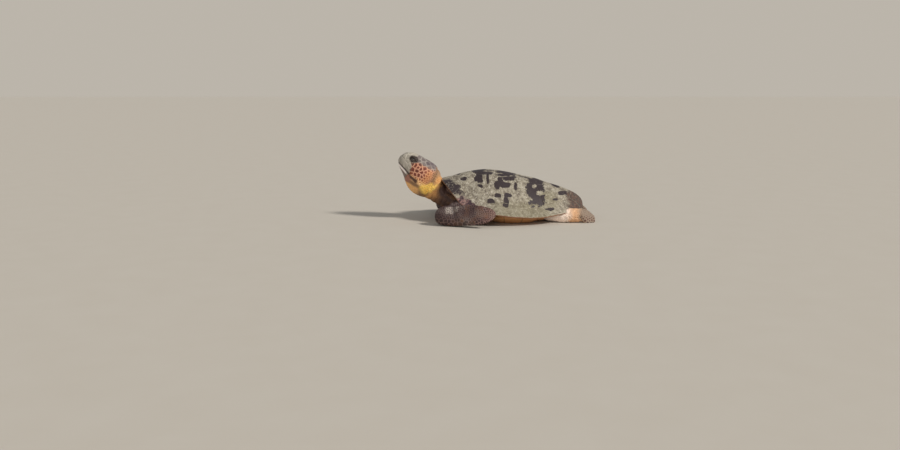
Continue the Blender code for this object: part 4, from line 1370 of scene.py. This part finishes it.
def make_lids(word, centre, along, up, out, skin_tree):
    """A ring of lid skin from the rim on the eyeball out to where it sinks into the head."""
    count, rows = LID_GRID
    turns = 2 * np.pi * np.arange(count) / count
    cosine, sine = math.cos(LID_SLANT), math.sin(LID_SLANT)
    rings, shares = [], []
    reach_there = 1 + 0.07 * np.sin(2 * turns + 0.7) + 0.05 * np.sin(3 * turns)
    upper_lid = np.maximum(np.sin(turns), 0)
    for row in range(rows):
        share = row / (rows - 1)
        opening = np.array(LID_OPENING) * (1 - share) + np.array(LID_REACH) * share
        pinch = 1 - 0.42 * (1 - ease(share, 0.0, 0.7)) * np.abs(np.cos(turns)) ** 1.6
        spread_out = 1 + (reach_there - 1) * ease(share, 0.3, 1.0)
        u = opening[0] * np.cos(turns) * spread_out
        hood = 1 - 0.20 * upper_lid * (1 - share)
        v = opening[1] * np.sin(turns) * pinch * spread_out * hood - 0.0006 * (1 - share)
        u, v = u * cosine + v * sine, v * cosine - u * sine
        flat = centre + np.outer(u, along) + np.outer(v, up)
        base = np.empty(count)
        for i, start in enumerate(flat + out * 0.06):
            place, _, _, distance = skin_tree.ray_cast(Vector(start), Vector(-out), 0.12)
            base[i] = 0.06 - distance if place is not None else 0.0
        reach = np.hypot(u, v)
        thick = 0.0005 + (0.0020 + 0.0022 * upper_lid) * ease(share, 0.0, 0.16)
        ball = np.sqrt(np.maximum((EYE_RADIUS + thick) ** 2 - reach**2, 0))
        fold = 0.0010 * np.sin(share * 21.0 + 0.6 * np.cos(turns)) * ease(share, 0.18, 0.3)
        fold = fold * (1 - ease(share, 0.80, 1.0)) * (0.7 + 0.5 * np.sin(turns))
        blend = ease(share, 0.35, 0.95)
        lid = np.maximum(ball, base * 0.55 + ball * 0.45) * (1 - blend) + base * blend
        level = lid + 0.6 * fold - 0.0022 * ease(share, 0.60, 1.0)
        rings.append(flat + level[:, None] * out)
        shares.append(np.full(count, share))
    tuck = rings[0] - out * 0.004
    rings = [tuck, *rings]
    shares = np.concatenate([np.zeros(count), *shares])
    points = np.concatenate(rings)
    faces = grid_faces(rows + 1, count)
    normals = normals_of(points, faces)
    if (normals @ out).mean() < 0:
        faces, normals = faces[:, ::-1], -normals
    edge = lid_scales(points, shares, np.tile(turns, rows + 1))
    points = points + normals * (0.0007 * ease(edge, 0.0, 0.0009) * ease(shares, 0.10, 0.24))[:, None]
    rear = points - normals * 0.0010
    piece, where = sheet_with_back("eyelid_" + word, points, rear, faces, np.zeros(len(points)))
    below = ease((centre - points) @ up, 0.004, 0.012) * ease(shares, 0.46, 0.74)
    colours = painted((
        (np.ones(len(points)), (82, 70, 64), (40, 32, 31)),
        (1 - ease(shares, 0.03, 0.16), (54, 44, 42), None),
        (below, (184, 174, 156), (128, 116, 102)),
    ))
    set_skin(piece, *colours, np.full(len(points), 0.0009), edge, where)
    finish_piece(piece, "skin", "skin")


def lid_scales(points, shares, turns):
    """How far each point of a lid lies inside its own small scale. The scales run in rows round the
    eye, and the rim of the opening has none."""
    random = np.random.default_rng(17)
    seeds = []
    for row, many in ((0.24, 15), (0.42, 18), (0.60, 20), (0.78, 23), (0.95, 27)):
        for step in range(many):
            turn = 2 * math.pi * (step + random.uniform(-0.25, 0.25) + 0.5 * (many % 2)) / many
            away = np.abs((turns - turn + math.pi) % (2 * math.pi) - math.pi)
            seeds.append(points[(away * 0.5 + np.abs(shares - row - random.uniform(-0.03, 0.03))).argmin()])
    away = np.linalg.norm(points[:, None] - np.array(seeds)[None], axis=2)
    nearest = np.sort(away, axis=1)[:, :2]
    return (nearest[:, 1] - nearest[:, 0]) / 2 + 0.003 * (1 - ease(shares, 0.06, 0.14))


def make_claws(skin_tree):
    """The two small claws on each flipper, near its leading edge."""
    for kind, (start, along, lead, dorsal) in FLIPPER_FRAMES.items():
        front = kind.startswith("front")
        places = ((0.130, 0.046), (0.180, 0.047)) if front else ((0.050, 0.034), (0.074, 0.026))
        length, thick = (0.016, 0.0042) if front else (0.011, 0.0030)
        for number, (ahead, across) in enumerate(places, 1):
            above = start + along * ahead + lead * across + dorsal * 0.08
            root, normal, _, _ = skin_tree.ray_cast(Vector(above), Vector(-dorsal), 0.2)
            if root is None:
                continue
            root, normal = np.array(root), np.array(normal)
            side = unit(np.cross(along, normal))
            rings = []
            for step in range(15):
                share = step / 14
                centre = root + along * (length * share - 0.004) + normal * (0.0004 - 0.0035 * share**2)
                wide = thick * (1 - share**1.8) ** 0.7 + 0.0001
                rings.append(oval(centre, side, normal, wide, wide * 0.8, wide * 0.5, 2.0, 20))
            rings = np.array(rings)
            rings[..., 2] = np.maximum(rings[..., 2], 0.001)
            name = kind.replace("flipper", "claw") + f"_{number}"
            finish_piece(mesh_object(name, *lofted(rings)), "claw_horn", "beak")


# ---------------- scales over the skin


# Shields of the head's top by distance back and across, and of its sides by distance back and height.
CROWN_SHIELDS = (
    (0.020, 0.010), (0.044, 0.015), (0.034, 0.0), (0.068, 0.0), (0.070, 0.034), (0.096, 0.040),
    (0.108, 0.0), (0.126, 0.038), (0.150, 0.016), (0.160, 0.050), (0.184, 0.030), (0.190, 0.0),
    (0.208, 0.018), (0.205, 0.050),
)
CHEEK_SHIELDS = (
    (0.036, 0.046), (0.050, 0.022), (0.104, 0.060), (0.104, 0.030), (0.097, 0.000), (0.123, 0.047),
    (0.125, 0.010), (0.142, 0.060), (0.153, 0.014), (0.159, 0.038), (0.127, -0.020), (0.146, -0.010),
    (0.166, -0.008), (0.182, 0.056), (0.193, 0.025), (0.206, 0.048), (0.163, -0.030), (0.104, -0.026),
)


def head_shields(skin_tree):
    """Where the named shields of the head sit on the skin, on both sides."""
    found = []
    for back, across in CROWN_SHIELDS:
        for side in (1, -1) if across else (1,):
            start = head_place(back, 0.20, side * across)
            found.append(skin_tree.ray_cast(Vector(start), Vector(-UPWARD), 0.3)[0])
    for back, height in CHEEK_SHIELDS:
        for side, _ in SIDES:
            start = head_place(back, height, side * 0.20)
            found.append(skin_tree.ray_cast(Vector(start), Vector(-LEFTWARD * side), 0.3)[0])
    return np.array([tuple(place) for place in found if place is not None])


def scale_spacing(points, part):
    """How far apart the scales' middles are, place by place."""
    back, height, _ = in_head(points)
    on_head = part == "head"
    crown = ease(height, 0.030, 0.060) * (1 - ease(back, 0.195, 0.225))
    cheek = (1 - ease(back, 0.16, 0.21)) * ease(height, -0.055, -0.010)
    spacing = np.where(on_head, 0.0088 + 0.0190 * crown + 0.0115 * cheek * (1 - crown), 0.0085)
    under = on_head & (height < -0.060) & (back < 0.225)
    spacing = np.where(under, 0.0072, spacing)
    spacing = np.where(on_head & (back > 0.235), 0.0086, spacing)
    for name, (start, _, lead, _) in FLIPPER_FRAMES.items():
        across = (points - start) @ lead
        leading, trailing = ease(across, 0.012, 0.040), ease(-across, 0.020, 0.045)
        size = 0.0095 + 0.0105 * leading + 0.0030 * trailing
        if name.startswith("hind"):
            size = 0.0090 + 0.0050 * leading
        spacing = np.where(part == name, size, spacing)
    return spacing


def scattered_places(points, faces, spacing, seed, fixed):
    """Random places on a surface that keep their spacing from each other and from the fixed ones,
    evened out once they are all laid. The fixed ones come first and stay."""
    random = np.random.default_rng(seed)
    a, b, c = (points[faces[:, i]] for i in range(3))
    area = np.linalg.norm(np.cross(b - a, c - a), axis=1)
    wish = area / np.minimum.reduce([spacing[faces[:, i]] for i in range(3)]) ** 2
    tries = int(wish.sum() * TRIES_FOR_A_SCALE)
    chosen = random.choice(len(faces), tries, p=wish / wish.sum())
    u, v = random.random((2, tries, 1))
    u, v = np.where(u + v > 1, 1 - u, u), np.where(u + v > 1, 1 - v, v)
    places = a[chosen] * (1 - u - v) + b[chosen] * u + c[chosen] * v
    reach = spacing[faces[chosen, 0]] * random.uniform(*SPACING_RANGE, tries)
    kept = np.full((len(fixed) + tries, 3), 9.0)
    kept[: len(fixed)] = fixed
    total = len(fixed)
    for place, apart in zip(places, reach):
        if not total or ((kept[:total] - place) ** 2).sum(1).min() > apart * apart:
            kept[total] = place
            total += 1
    kept = kept[:total]
    for _ in range(2):
        nearest = nearest_seeds(points, kept, 1)[:, 0]
        count = np.maximum(np.bincount(nearest, minlength=total), 1)
        middle = np.stack([np.bincount(nearest, points[:, i], total) for i in range(3)], 1) / count[:, None]
        moved = np.arange(total) >= len(fixed)
        kept[moved] += 0.5 * (middle[moved] - kept[moved])
    return kept


def nearest_seeds(points, seeds, count):
    """For each point, the numbers of the nearest seeds, nearest first."""
    tree = KDTree(len(seeds))
    for i, place in enumerate(seeds):
        tree.insert(place, i)
    tree.balance()
    return np.array([[found[1] for found in tree.find_n(point, count)] for point in points])


def refined(points, squares):
    """A surface of squares with each square made four, and its curve kept."""
    coarse = mesh_object("coarse_skin", points, squares)
    data = changed_by(coarse, "SUBSURF", levels=1, render_levels=1)
    bpy.data.objects.remove(coarse)
    return arrays_of(data)


def unwrapped(points, seeds, cells, kind):
    """Places on an unwrap of the skin's own shape: round the head and neck, or along a flipper with
    its upper and lower faces side by side. A scale is never torn by the unwrap's edge."""
    if kind == "head":
        _, seed_height, seed_across = in_head(seeds)
        back, height, across = in_head(points)
        seed_turn = np.arctan2(seed_across, seed_height + 0.02)[cells]
        turn = np.arctan2(across, height + 0.02)
        turn = seed_turn + (turn - seed_turn + np.pi) % (2 * np.pi) - np.pi
        return np.column_stack((0.5 + turn / 6.6, 0.02 + back / 0.48))
    if kind == "tail":
        upper = (seeds[:, 2] > 0.045)[cells]
        return np.column_stack((0.25 + points[:, 0] / 1.2 + 0.5 * upper, 0.05 + (points[:, 1] - 0.15) * 2.4))
    start, along, lead, dorsal = FLIPPER_FRAMES[kind]
    upper = ((seeds - start) @ dorsal > 0)[cells]
    ahead, across = (points - start) @ along, (points - start) @ lead
    return np.column_stack((0.25 + across / 0.40 + 0.5 * upper, 0.25 + ahead / 0.60))


def cells_around(points, faces, seeds, near):
    """Parts a surface among its nearest seeds. Returns triangles with the cell that each is read for,
    and how far their corners lie inside that cell."""
    first = near[faces, 0]
    second_too = first[:, 1] != first[:, 0]
    third_too = (first[:, 2] != first[:, 0]) & (first[:, 2] != first[:, 1])
    rows, which = np.nonzero(np.stack((np.ones(len(faces), bool), second_too, third_too), 1))
    cells, triangles = first[rows, which], faces[rows]
    own = seeds[cells]
    inside = np.full(triangles.shape, 9.0)
    for corner in range(3):
        place = points[triangles[:, corner]]
        own_distance = ((place - own) ** 2).sum(1)
        for other in near[triangles[:, corner]].T:
            way = np.linalg.norm(seeds[other] - own, axis=1)
            away = ((place - seeds[other]) ** 2).sum(1) - own_distance
            depth = away / (2 * np.maximum(way, 1e-9))
            nearer = (other != cells) & (depth < inside[:, corner])
            inside[nearer, corner] = depth[nearer]
    return triangles, cells, inside


def depth_in_cells(triangles, cells, inside, keys):
    """How far the points of the divided cells lie inside their own cell, 0 along its edge."""
    known = ((cells[:, None].astype(np.int64) << 32) | triangles).ravel()
    order = np.argsort(known)
    wanted = (keys[:, 0].astype(np.int64) << 32) | keys[:, 1]
    at = np.clip(np.searchsorted(known[order], wanted), 0, len(known) - 1)
    whole = keys[:, 1] == keys[:, 2]
    return np.maximum(np.where(whole, inside.ravel()[order][at], 0.0), 0)


def raised(name, base, normal, lift, faces):
    """A closed solid on every cell: its face lifted, and its root sunk below the skin. Also returns
    which point of the cells each comes from."""
    rim = open_edges(faces)
    low = np.unique(rim)
    number = np.full(len(base), -1)
    number[low] = len(base) + np.arange(len(low))
    a, b = rim.T
    walls = np.concatenate([np.stack((b, a, number[a]), 1), np.stack((b, number[a], number[b]), 1)])
    caps = [number[ring[::-1]] for ring in rings_of(rim)]
    points = np.concatenate([base + normal * lift[:, None], base[low] - normal[low] * SCALE_ROOT])
    piece = mesh_object(name, points, np.concatenate([faces, walls]), caps)
    return piece, points, np.concatenate([np.arange(len(base)), low])


def make_scales(name, skin, wanted, kind, slot, seed, fixed=(), rise=SCALE_RISE, most=LIMB_TRIANGLES):
    """The scales on one stretch of skin as a single piece: each one a low solid with a soft edge."""
    points, squares, part = skin
    fine, faces = refined(*only(points, squares, wanted))
    fine_part = part[nearest_seeds(fine, points, 1)[:, 0]]
    spacing = scale_spacing(fine, fine_part)
    seeds = scattered_places(fine, faces, spacing, seed, np.array(fixed).reshape(-1, 3))
    near = nearest_seeds(fine, seeds, 8)
    triangles, cells, inside = cells_around(fine, faces, seeds, near)
    gap = 0.0005 + (0.05 if kind == "head" else 0.028) * spacing
    inside -= gap[triangles]
    cut_faces, keys, shares = divided(triangles, cells, inside)
    depth = depth_in_cells(triangles, cells, inside, keys)
    cell = keys[:, 0]
    tone = scattered(np.stack((np.arange(len(seeds)), np.full(len(seeds), seed), np.zeros(len(seeds))), 1), 5)
    height = rise * (0.75 + 0.5 * tone[cell])
    lift = height * ease(depth, -0.0002, 0.0016) + 0.35 * height * ease(depth, 0.001, 0.009)
    base = blended(fine, keys, shares)
    normal = unit(blended(normals_of(fine, faces), keys, shares))
    piece, places, where = raised(name, base, normal, lift, cut_faces)
    cell = cell[where]
    centre, margin, width = body_colours(base[where], fine_part[keys[where, 1]])
    seed_part = np.full(len(seeds), fine_part[0], part.dtype)
    seed_part[near[:, 0]] = fine_part
    seed_part[seed_part == PLAIN_PLATES.get(name, "")] = "plain"
    centre = 0.4 * centre + 0.6 * body_colours(seeds, seed_part)[0][cell]
    own_shade = (0.84 + 0.32 * tone[cell])[:, None]
    set_skin(piece, centre * own_shade, margin, width, depth[where])
    layer = piece.data.uv_layers.new(name="OFBake")
    flat = unwrapped(places, seeds, cell, kind)[read(piece.data.loops, "vertex_index").ravel()]
    layer.data.foreach_set("uv", flat.astype(np.float32).ravel())
    thinned(piece, min(1.0, most / sum(len(face.vertices) - 2 for face in piece.data.polygons)))
    finish_piece(piece, "skin", slot)


def make_all_scales(points, squares, part, skin_tree, shown):
    """Scales on the head, the neck, and the front and hind limbs."""
    back, height, _ = in_head(points)
    clear = shown.copy()
    for side, _ in SIDES:
        clear &= (lid_radius(points, side) >= 0.80) & (from_nostril(points, side) > 0.0050)
    beak = inside_beak(back, height)
    mouth, _ = line_distance(back, height, MOUTH_LINE[2:])
    clear &= ~((beak > -0.0006) & (back < 0.11)) | (part != "head")
    clear &= ~((mouth < 0.0022) & (back < 0.142)) | (part != "head")
    head = (part == "head") & clear & (back < 0.238)
    front = (part == "trunk") & (points[:, 1] < -0.15)
    rear = np.isin(part, ("trunk", "tail")) & (points[:, 1] > 0.15) & clear
    neck = (((part == "head") & (back >= 0.232)) | front) & clear
    skin = points, squares, part
    make_scales("head_scales", skin, head, "head", "skin", 1, head_shields(skin_tree), most=HEAD_TRIANGLES)
    make_scales("neck_scales", skin, neck, "head", "skin", 2, (), SMALL_SCALE_RISE, HEAD_TRIANGLES)
    make_scales("tail_scales", skin, rear, "tail", "skin", 7, (), SMALL_SCALE_RISE, TAIL_TRIANGLES)
    for side, word in SIDES:
        for limb, arm, its_seed in (("front_flipper", "upper_arm", 3), ("hind_flipper", "thigh", 5)):
            kind = f"{limb}_{word}"
            wanted = np.isin(part, (kind, f"{arm}_{word}")) & clear
            make_scales(kind + "_scales", skin, wanted, kind, "flipper", its_seed)


# ---------------- materials


class Number:
    """A number that a material works out, to add to, take from, multiply or divide."""

    def __init__(self, nodes, socket):
        self.nodes = nodes
        self.socket = socket

    def __add__(self, other):
        return self.nodes.math("ADD", self, other)

    def __sub__(self, other):
        return self.nodes.math("SUBTRACT", self, other)

    def __rsub__(self, other):
        return self.nodes.math("SUBTRACT", other, self)

    def __mul__(self, other):
        return self.nodes.math("MULTIPLY", self, other)

    def __truediv__(self, other):
        return self.nodes.math("DIVIDE", self, other)


class Nodes:
    """Writes the nodes of a tree in short form. Colours are given as on a screen."""

    def __init__(self, tree):
        self.tree = tree
        self.place = self.node("TexCoord").outputs["Object"]

    def node(self, kind, inputs=(), **settings):
        """A node with these settings, fed with the values given for its inputs."""
        made = self.tree.nodes.new("ShaderNode" + kind)
        for key, value in settings.items():
            setattr(made, key, value)
        for key, value in dict(inputs).items():
            self.feed(made.inputs[key], value)
        return made

    def feed(self, socket, value):
        """Links a socket to another one, or gives it a fixed value."""
        value = value.socket if isinstance(value, Number) else value
        if isinstance(value, bpy.types.NodeSocket):
            self.tree.links.new(value, socket)
        elif socket.type == "RGBA":
            socket.default_value = (*colour(*value), 1)
        else:
            socket.default_value = value

    def number(self, kind, output, inputs, **settings):
        return Number(self, self.node(kind, inputs, **settings).outputs[output])

    def attribute(self, name):
        return Number(self, self.node("Attribute", attribute_name=name).outputs["Fac"])

    def stored_colour(self, name):
        return self.node("Attribute", attribute_name=name).outputs["Color"]

    def noise(self, scale, detail=4.0, stretch=None, place=None):
        """Soft random values over the object's own place, or over another one."""
        place = place or self.place
        if stretch is not None:
            place = self.node("Mapping", {"Vector": place, "Scale": stretch}).outputs[0]
        inputs = {"Vector": place, "Scale": scale, "Detail": detail, "Roughness": 0.55}
        return self.number("TexNoise", "Fac", inputs)

    def math(self, operation, first, second):
        return self.number("Math", 0, {0: first, 1: second}, operation=operation)

    def step(self, value, low, high):
        """A soft step from 0 at low to 1 at high."""
        inputs = {"Value": value, "From Min": low, "From Max": high}
        return self.number("MapRange", "Result", inputs, interpolation_type="SMOOTHSTEP")

    def spread(self, amount, low, high):
        """A number that runs from low to high as the amount runs from 0 to 1."""
        return self.number("MapRange", "Result", {"Value": amount, "To Min": low, "To Max": high})

    def mix(self, amount, first, second, blend="MIX"):
        inputs = {"Factor": amount, 6: first, 7: second}
        return self.node("Mix", inputs, data_type="RGBA", blend_type=blend).outputs[2]

    def over(self, base, *layers):
        """A colour with others laid over it in turn. Each layer is an amount and a colour."""
        for amount, tint in layers:
            base = self.mix(amount, base, tint)
        return base

    def bump(self, height, distance):
        return self.node("Bump", {"Height": height, "Distance": distance}).outputs["Normal"]


def make_horn_grain():
    """The grain that plastron, beak and claws share: fine streaks of growth, the roughness that
    follows them and their relief."""
    group = bpy.data.node_groups.new("horn_grain", "ShaderNodeTree")
    for way, name, kind, value in (
        ("INPUT", "Scale", "Float", 100.0),
        ("INPUT", "Detail", "Float", 4.0),
        ("INPUT", "Stretch", "Vector", (1.0, 1.0, 1.0)),
        ("INPUT", "Smoothest", "Float", 0.35),
        ("INPUT", "Roughest", "Float", 0.55),
        ("INPUT", "Relief", "Float", 0.0005),
        ("OUTPUT", "Grain", "Float", 0.0),
        ("OUTPUT", "Roughness", "Float", 0.0),
        ("OUTPUT", "Normal", "Vector", (0.0, 0.0, 0.0)),
    ):
        socket = group.interface.new_socket(name=name, in_out=way, socket_type="NodeSocket" + kind)
        socket.default_value = value
    given, found = group.nodes.new("NodeGroupInput").outputs, group.nodes.new("NodeGroupOutput").inputs
    g = Nodes(group)
    grain = g.noise(given["Scale"], given["Detail"], given["Stretch"])
    g.feed(found["Grain"], grain)
    g.feed(found["Roughness"], g.spread(grain, given["Smoothest"], given["Roughest"]))
    g.feed(found["Normal"], g.bump(grain, given["Relief"]))
    return group


HORN_GRAIN = make_horn_grain()


class Shade(Nodes):
    """The nodes of a material."""

    def __init__(self, name):
        self.material = bpy.data.materials.new(name)
        self.material.use_nodes = True
        super().__init__(self.material.node_tree)
        self.shader = self.tree.nodes["Principled BSDF"]

    def horn_grain(self, **values):
        """The shared grain with these values: its streaks, roughness and relief."""
        found = self.node("Group", node_tree=HORN_GRAIN)
        for name, value in values.items():
            found.inputs[name].default_value = value
        return Number(self, found.outputs["Grain"]), found.outputs["Roughness"], found.outputs["Normal"]

    def finish(self, base, roughness, normal=None, **fixed):
        """Feeds the shader, and sets its fixed values by their names."""
        found = {"Base Color": base, "Roughness": roughness}
        found |= {"Normal": normal} if normal is not None else {}
        found |= {key.replace("_", " "): value for key, value in fixed.items()}
        for key, value in found.items():
            self.feed(self.shader.inputs[key], value)
        return self.material


def shell_horn():
    """Dark horn under a pale crust of dried algae and sand, green low down and worn red behind."""
    s = Shade("shell_horn")
    fine, broad, specks, blotch = s.noise(90, 6), s.noise(16, 5), s.noise(330, 3), s.noise(42, 5)
    growth = s.stored_colour("growth")
    rays = s.noise(34, 4, place=growth, stretch=(5.5, 1.0, 1.0))
    dashes = s.noise(60, 3, place=growth, stretch=(5.0, 1.6, 1.0))
    ragged = (fine - 0.5) * 1.0 + (blotch - 0.5) * 1.3 + (rays - 0.5) * 0.5
    bare = s.step(s.attribute("bare") + ragged, 0.44, 0.54)
    grain = s.step(fine, 0.35, 0.65)
    wall = s.attribute("wall")
    crust = s.over(
        s.mix(s.step(broad, 0.35, 0.65), (138, 129, 113), (166, 157, 139)),
        (s.step(blotch, 0.50, 0.62), (182, 174, 156)),
        (s.step(blotch, 0.47, 0.36) * 0.8, (112, 102, 90)),
        (s.step(fine, 0.54, 0.65), (200, 192, 176)),
        (s.step(dashes, 0.52, 0.61) * 0.80, (84, 74, 66)),
        (s.step(specks, 0.58, 0.70), (84, 75, 66)),
        (s.attribute("green") * 0.45, (126, 119, 92)),
    )
    horn = s.mix(s.step(specks, 0.62, 0.74), s.mix(rays, (34, 26, 29), (66, 54, 55)), (124, 112, 104))
    raw = s.mix(s.step(blotch, 0.50, 0.60), s.mix(grain, (58, 38, 35), (98, 70, 60)), (46, 35, 38))
    pink = s.mix(s.step(blotch, 0.52, 0.60), s.mix(grain, (84, 62, 66), (146, 114, 106)), (66, 50, 54))
    seam = (1.0 - s.step(s.attribute("depth"), 0.0008, 0.0030)) * (1.0 - wall)
    seam = seam * s.spread(fine, 0.35, 1.0) * s.spread(bare, 0.42, 0.12)
    base = s.over(
        crust,
        (bare, horn),
        (s.step(s.attribute("red") + ragged, 0.40, 0.80) * 0.85, raw),
        (s.step(s.attribute("pink") + ragged, 0.40, 0.80), pink),
        (seam, (176, 165, 146)),
        (wall, s.mix(fine, (150, 102, 68), (102, 73, 56))),
    )
    height = specks * 0.5 + bare * -0.9 + rays * 0.35
    return s.finish(base, s.spread(bare, 0.92, 0.52), s.bump(height, 0.0011), Specular_IOR_Level=0.35)


def plastron_horn():
    """Yellow-brown horn with pale flecks, darker along its seams."""
    s = Shade("plastron_horn")
    fine, roughness, relief = s.horn_grain(Scale=120, Detail=5, Smoothest=0.5, Roughest=0.7, Relief=0.0008)
    base = s.over(
        s.mix(s.noise(14, 5), (230, 172, 112), (198, 138, 88)),
        (s.step(fine, 0.55, 0.72), (226, 188, 138)),
        (s.attribute("seam") * 0.7, (92, 58, 38)),
    )
    return s.finish(base, roughness, relief)


def skin():
    """Leathery skin whose colour is laid down place by place, with scales that have pale margins."""
    s = Shade("skin")
    fine, mid = s.noise(420, 4), s.noise(110, 5)
    reach = (s.attribute("edge") + (mid - 0.5) * 0.0024) / s.attribute("margin_width")
    base = s.mix(s.step(reach, 0.55, 1.15), s.stored_colour("margin"), s.stored_colour("centre"))
    grey = s.node("CombineColor", dict.fromkeys(range(3), s.spread(mid, 0.72, 1.26)))
    base = s.mix(1.0, base, grey.outputs[0], "MULTIPLY")
    relief = s.bump(fine * 0.5 + mid * 0.8, 0.0008)
    return s.finish(base, s.spread(mid, 0.46, 0.72), relief, Specular_IOR_Level=0.4)


def beak_horn():
    """Pale olive horn with fine streaks toward the biting edge."""
    s = Shade("beak_horn")
    streaks, roughness, relief = s.horn_grain(
        Scale=75, Detail=5, Stretch=(1.0, 1.0, 0.30), Smoothest=0.34, Roughest=0.55, Relief=0.0006)
    base = s.mix(s.step(streaks, 0.35, 0.68), s.stored_colour("centre"), s.stored_colour("margin"))
    scratches = s.step(s.noise(190, 4, stretch=(1.0, 1.0, 0.22)), 0.58, 0.70) * 0.7
    return s.finish(s.mix(scratches, base, (98, 86, 76)), roughness, relief)


def wet_eye():
    """A dark wet eye with a brown iris round a black pupil."""
    s = Shade("wet_eye")
    iris = s.attribute("iris")
    brown = s.mix(s.noise(700, 3), (78, 63, 46), (42, 32, 25))
    base = s.mix(s.step(iris, 0.36, 0.44), (8, 7, 8), brown)
    base = s.mix(s.step(iris, 0.86, 0.98), base, (20, 16, 16))
    return s.finish(base, 0.08, Coat_Weight=1.0, Coat_Roughness=0.03, IOR=1.4)


def claw_horn():
    s = Shade("claw_horn")
    streaks, roughness, relief = s.horn_grain(Scale=160, Relief=0.0004)
    return s.finish(s.mix(streaks, (86, 68, 54), (48, 38, 33)), roughness, relief)


def pale_floor():
    s = Shade("pale_floor")
    base = s.mix(s.noise(6, 3), (196, 188, 176), (200, 193, 182))
    return s.finish(base, 0.9, Specular_IOR_Level=0.2)


MATERIALS = {
    make.__name__: make()
    for make in (shell_horn, plastron_horn, skin, beak_horn, wet_eye, claw_horn, pale_floor)
}


# ---------------- camera, light and floor


CAMERA_PLACE = (5.39, -0.377, 0.826)
CAMERA_PITCH = math.radians(9.15)
LENS = SENSOR = 36
FLOOR_REACH = 40.0
SKY_COLOUR, SKY_STRENGTH = (0.94, 0.97, 1.0, 1), 0.32
BACKDROP_COLOUR = (0.50, 0.462, 0.405, 1)

# Each lamp's name, strength, breadth in degrees, tint and the way that it shines.
LAMPS = (
    ("key", 2.72, 9, (1.0, 0.965, 0.91), (-0.50, -1.0, -0.84)),
    ("fill", 0.95, 60, (1.0, 0.975, 0.94), (-1.0, 0.20, -0.14)),
)


def aimed(name, data, ahead):
    """A camera or lamp in the scene that looks this way."""
    made = bpy.data.objects.new(name, data)
    bpy.context.scene.collection.objects.link(made)
    made.rotation_euler = Vector(ahead).to_track_quat("-Z", "Y").to_euler()
    return made


def make_camera():
    data = bpy.data.cameras.new("camera")
    data.lens = LENS
    data.sensor_width = SENSOR
    camera = aimed("camera", data, (-math.cos(CAMERA_PITCH), 0, -math.sin(CAMERA_PITCH)))
    camera.location = CAMERA_PLACE
    bpy.context.scene.camera = camera


def light_the_studio():
    """A soft key light from the turtle's tail side, and an even pale surrounding."""
    for name, strength, breadth, tint, way in LAMPS:
        data = bpy.data.lights.new(name, "SUN")
        data.energy = strength
        data.angle = math.radians(breadth)
        data.color = tint
        aimed(name, data, way)
    world = bpy.data.worlds.new("studio")
    bpy.context.scene.world = world
    world.use_nodes = True
    tree = world.node_tree
    around = tree.nodes["Background"]
    around.inputs["Color"].default_value = SKY_COLOUR
    around.inputs["Strength"].default_value = SKY_STRENGTH
    backdrop = tree.nodes.new("ShaderNodeBackground")
    backdrop.inputs["Color"].default_value = BACKDROP_COLOUR
    rays = tree.nodes.new("ShaderNodeLightPath")
    choice = tree.nodes.new("ShaderNodeMixShader")
    tree.links.new(rays.outputs["Is Camera Ray"], choice.inputs[0])
    tree.links.new(around.outputs[0], choice.inputs[1])
    tree.links.new(backdrop.outputs[0], choice.inputs[2])
    tree.links.new(choice.outputs[0], tree.nodes["World Output"].inputs["Surface"])
    bpy.context.scene.view_settings.view_transform = "Standard"


def make_floor():
    corners = [(x * FLOOR_REACH, y * FLOOR_REACH, 0) for x, y in ((-1, -1), (1, -1), (1, 1), (-1, 1))]
    floor = mesh_object("floor", corners, [(0, 1, 2, 3)])
    floor.data.materials.append(MATERIALS["pale_floor"])


def main():
    make_camera()
    light_the_studio()
    make_floor()
    shell_tree = make_scutes()
    plastron_tree = make_plastron()
    points, squares, normals, part = make_skin(shell_tree, plastron_tree)
    piece = mesh_object("skin", points, split_squares(squares))
    set_skin(piece, *body_colours(points, part), np.zeros(len(points)))
    thinned(piece, SKIN_SHARE)
    finish_piece(piece, "skin", "skin", *FLESH)
    skin_tree = tree_of(points, split_squares(squares))
    shown = visible_skin(points, normals, part, shell_tree)
    make_all_scales(points, squares, part, skin_tree, shown)
    make_beaks()
    make_eyes(tree_of(*lofted(head_and_neck())))
    make_claws(skin_tree)


main()
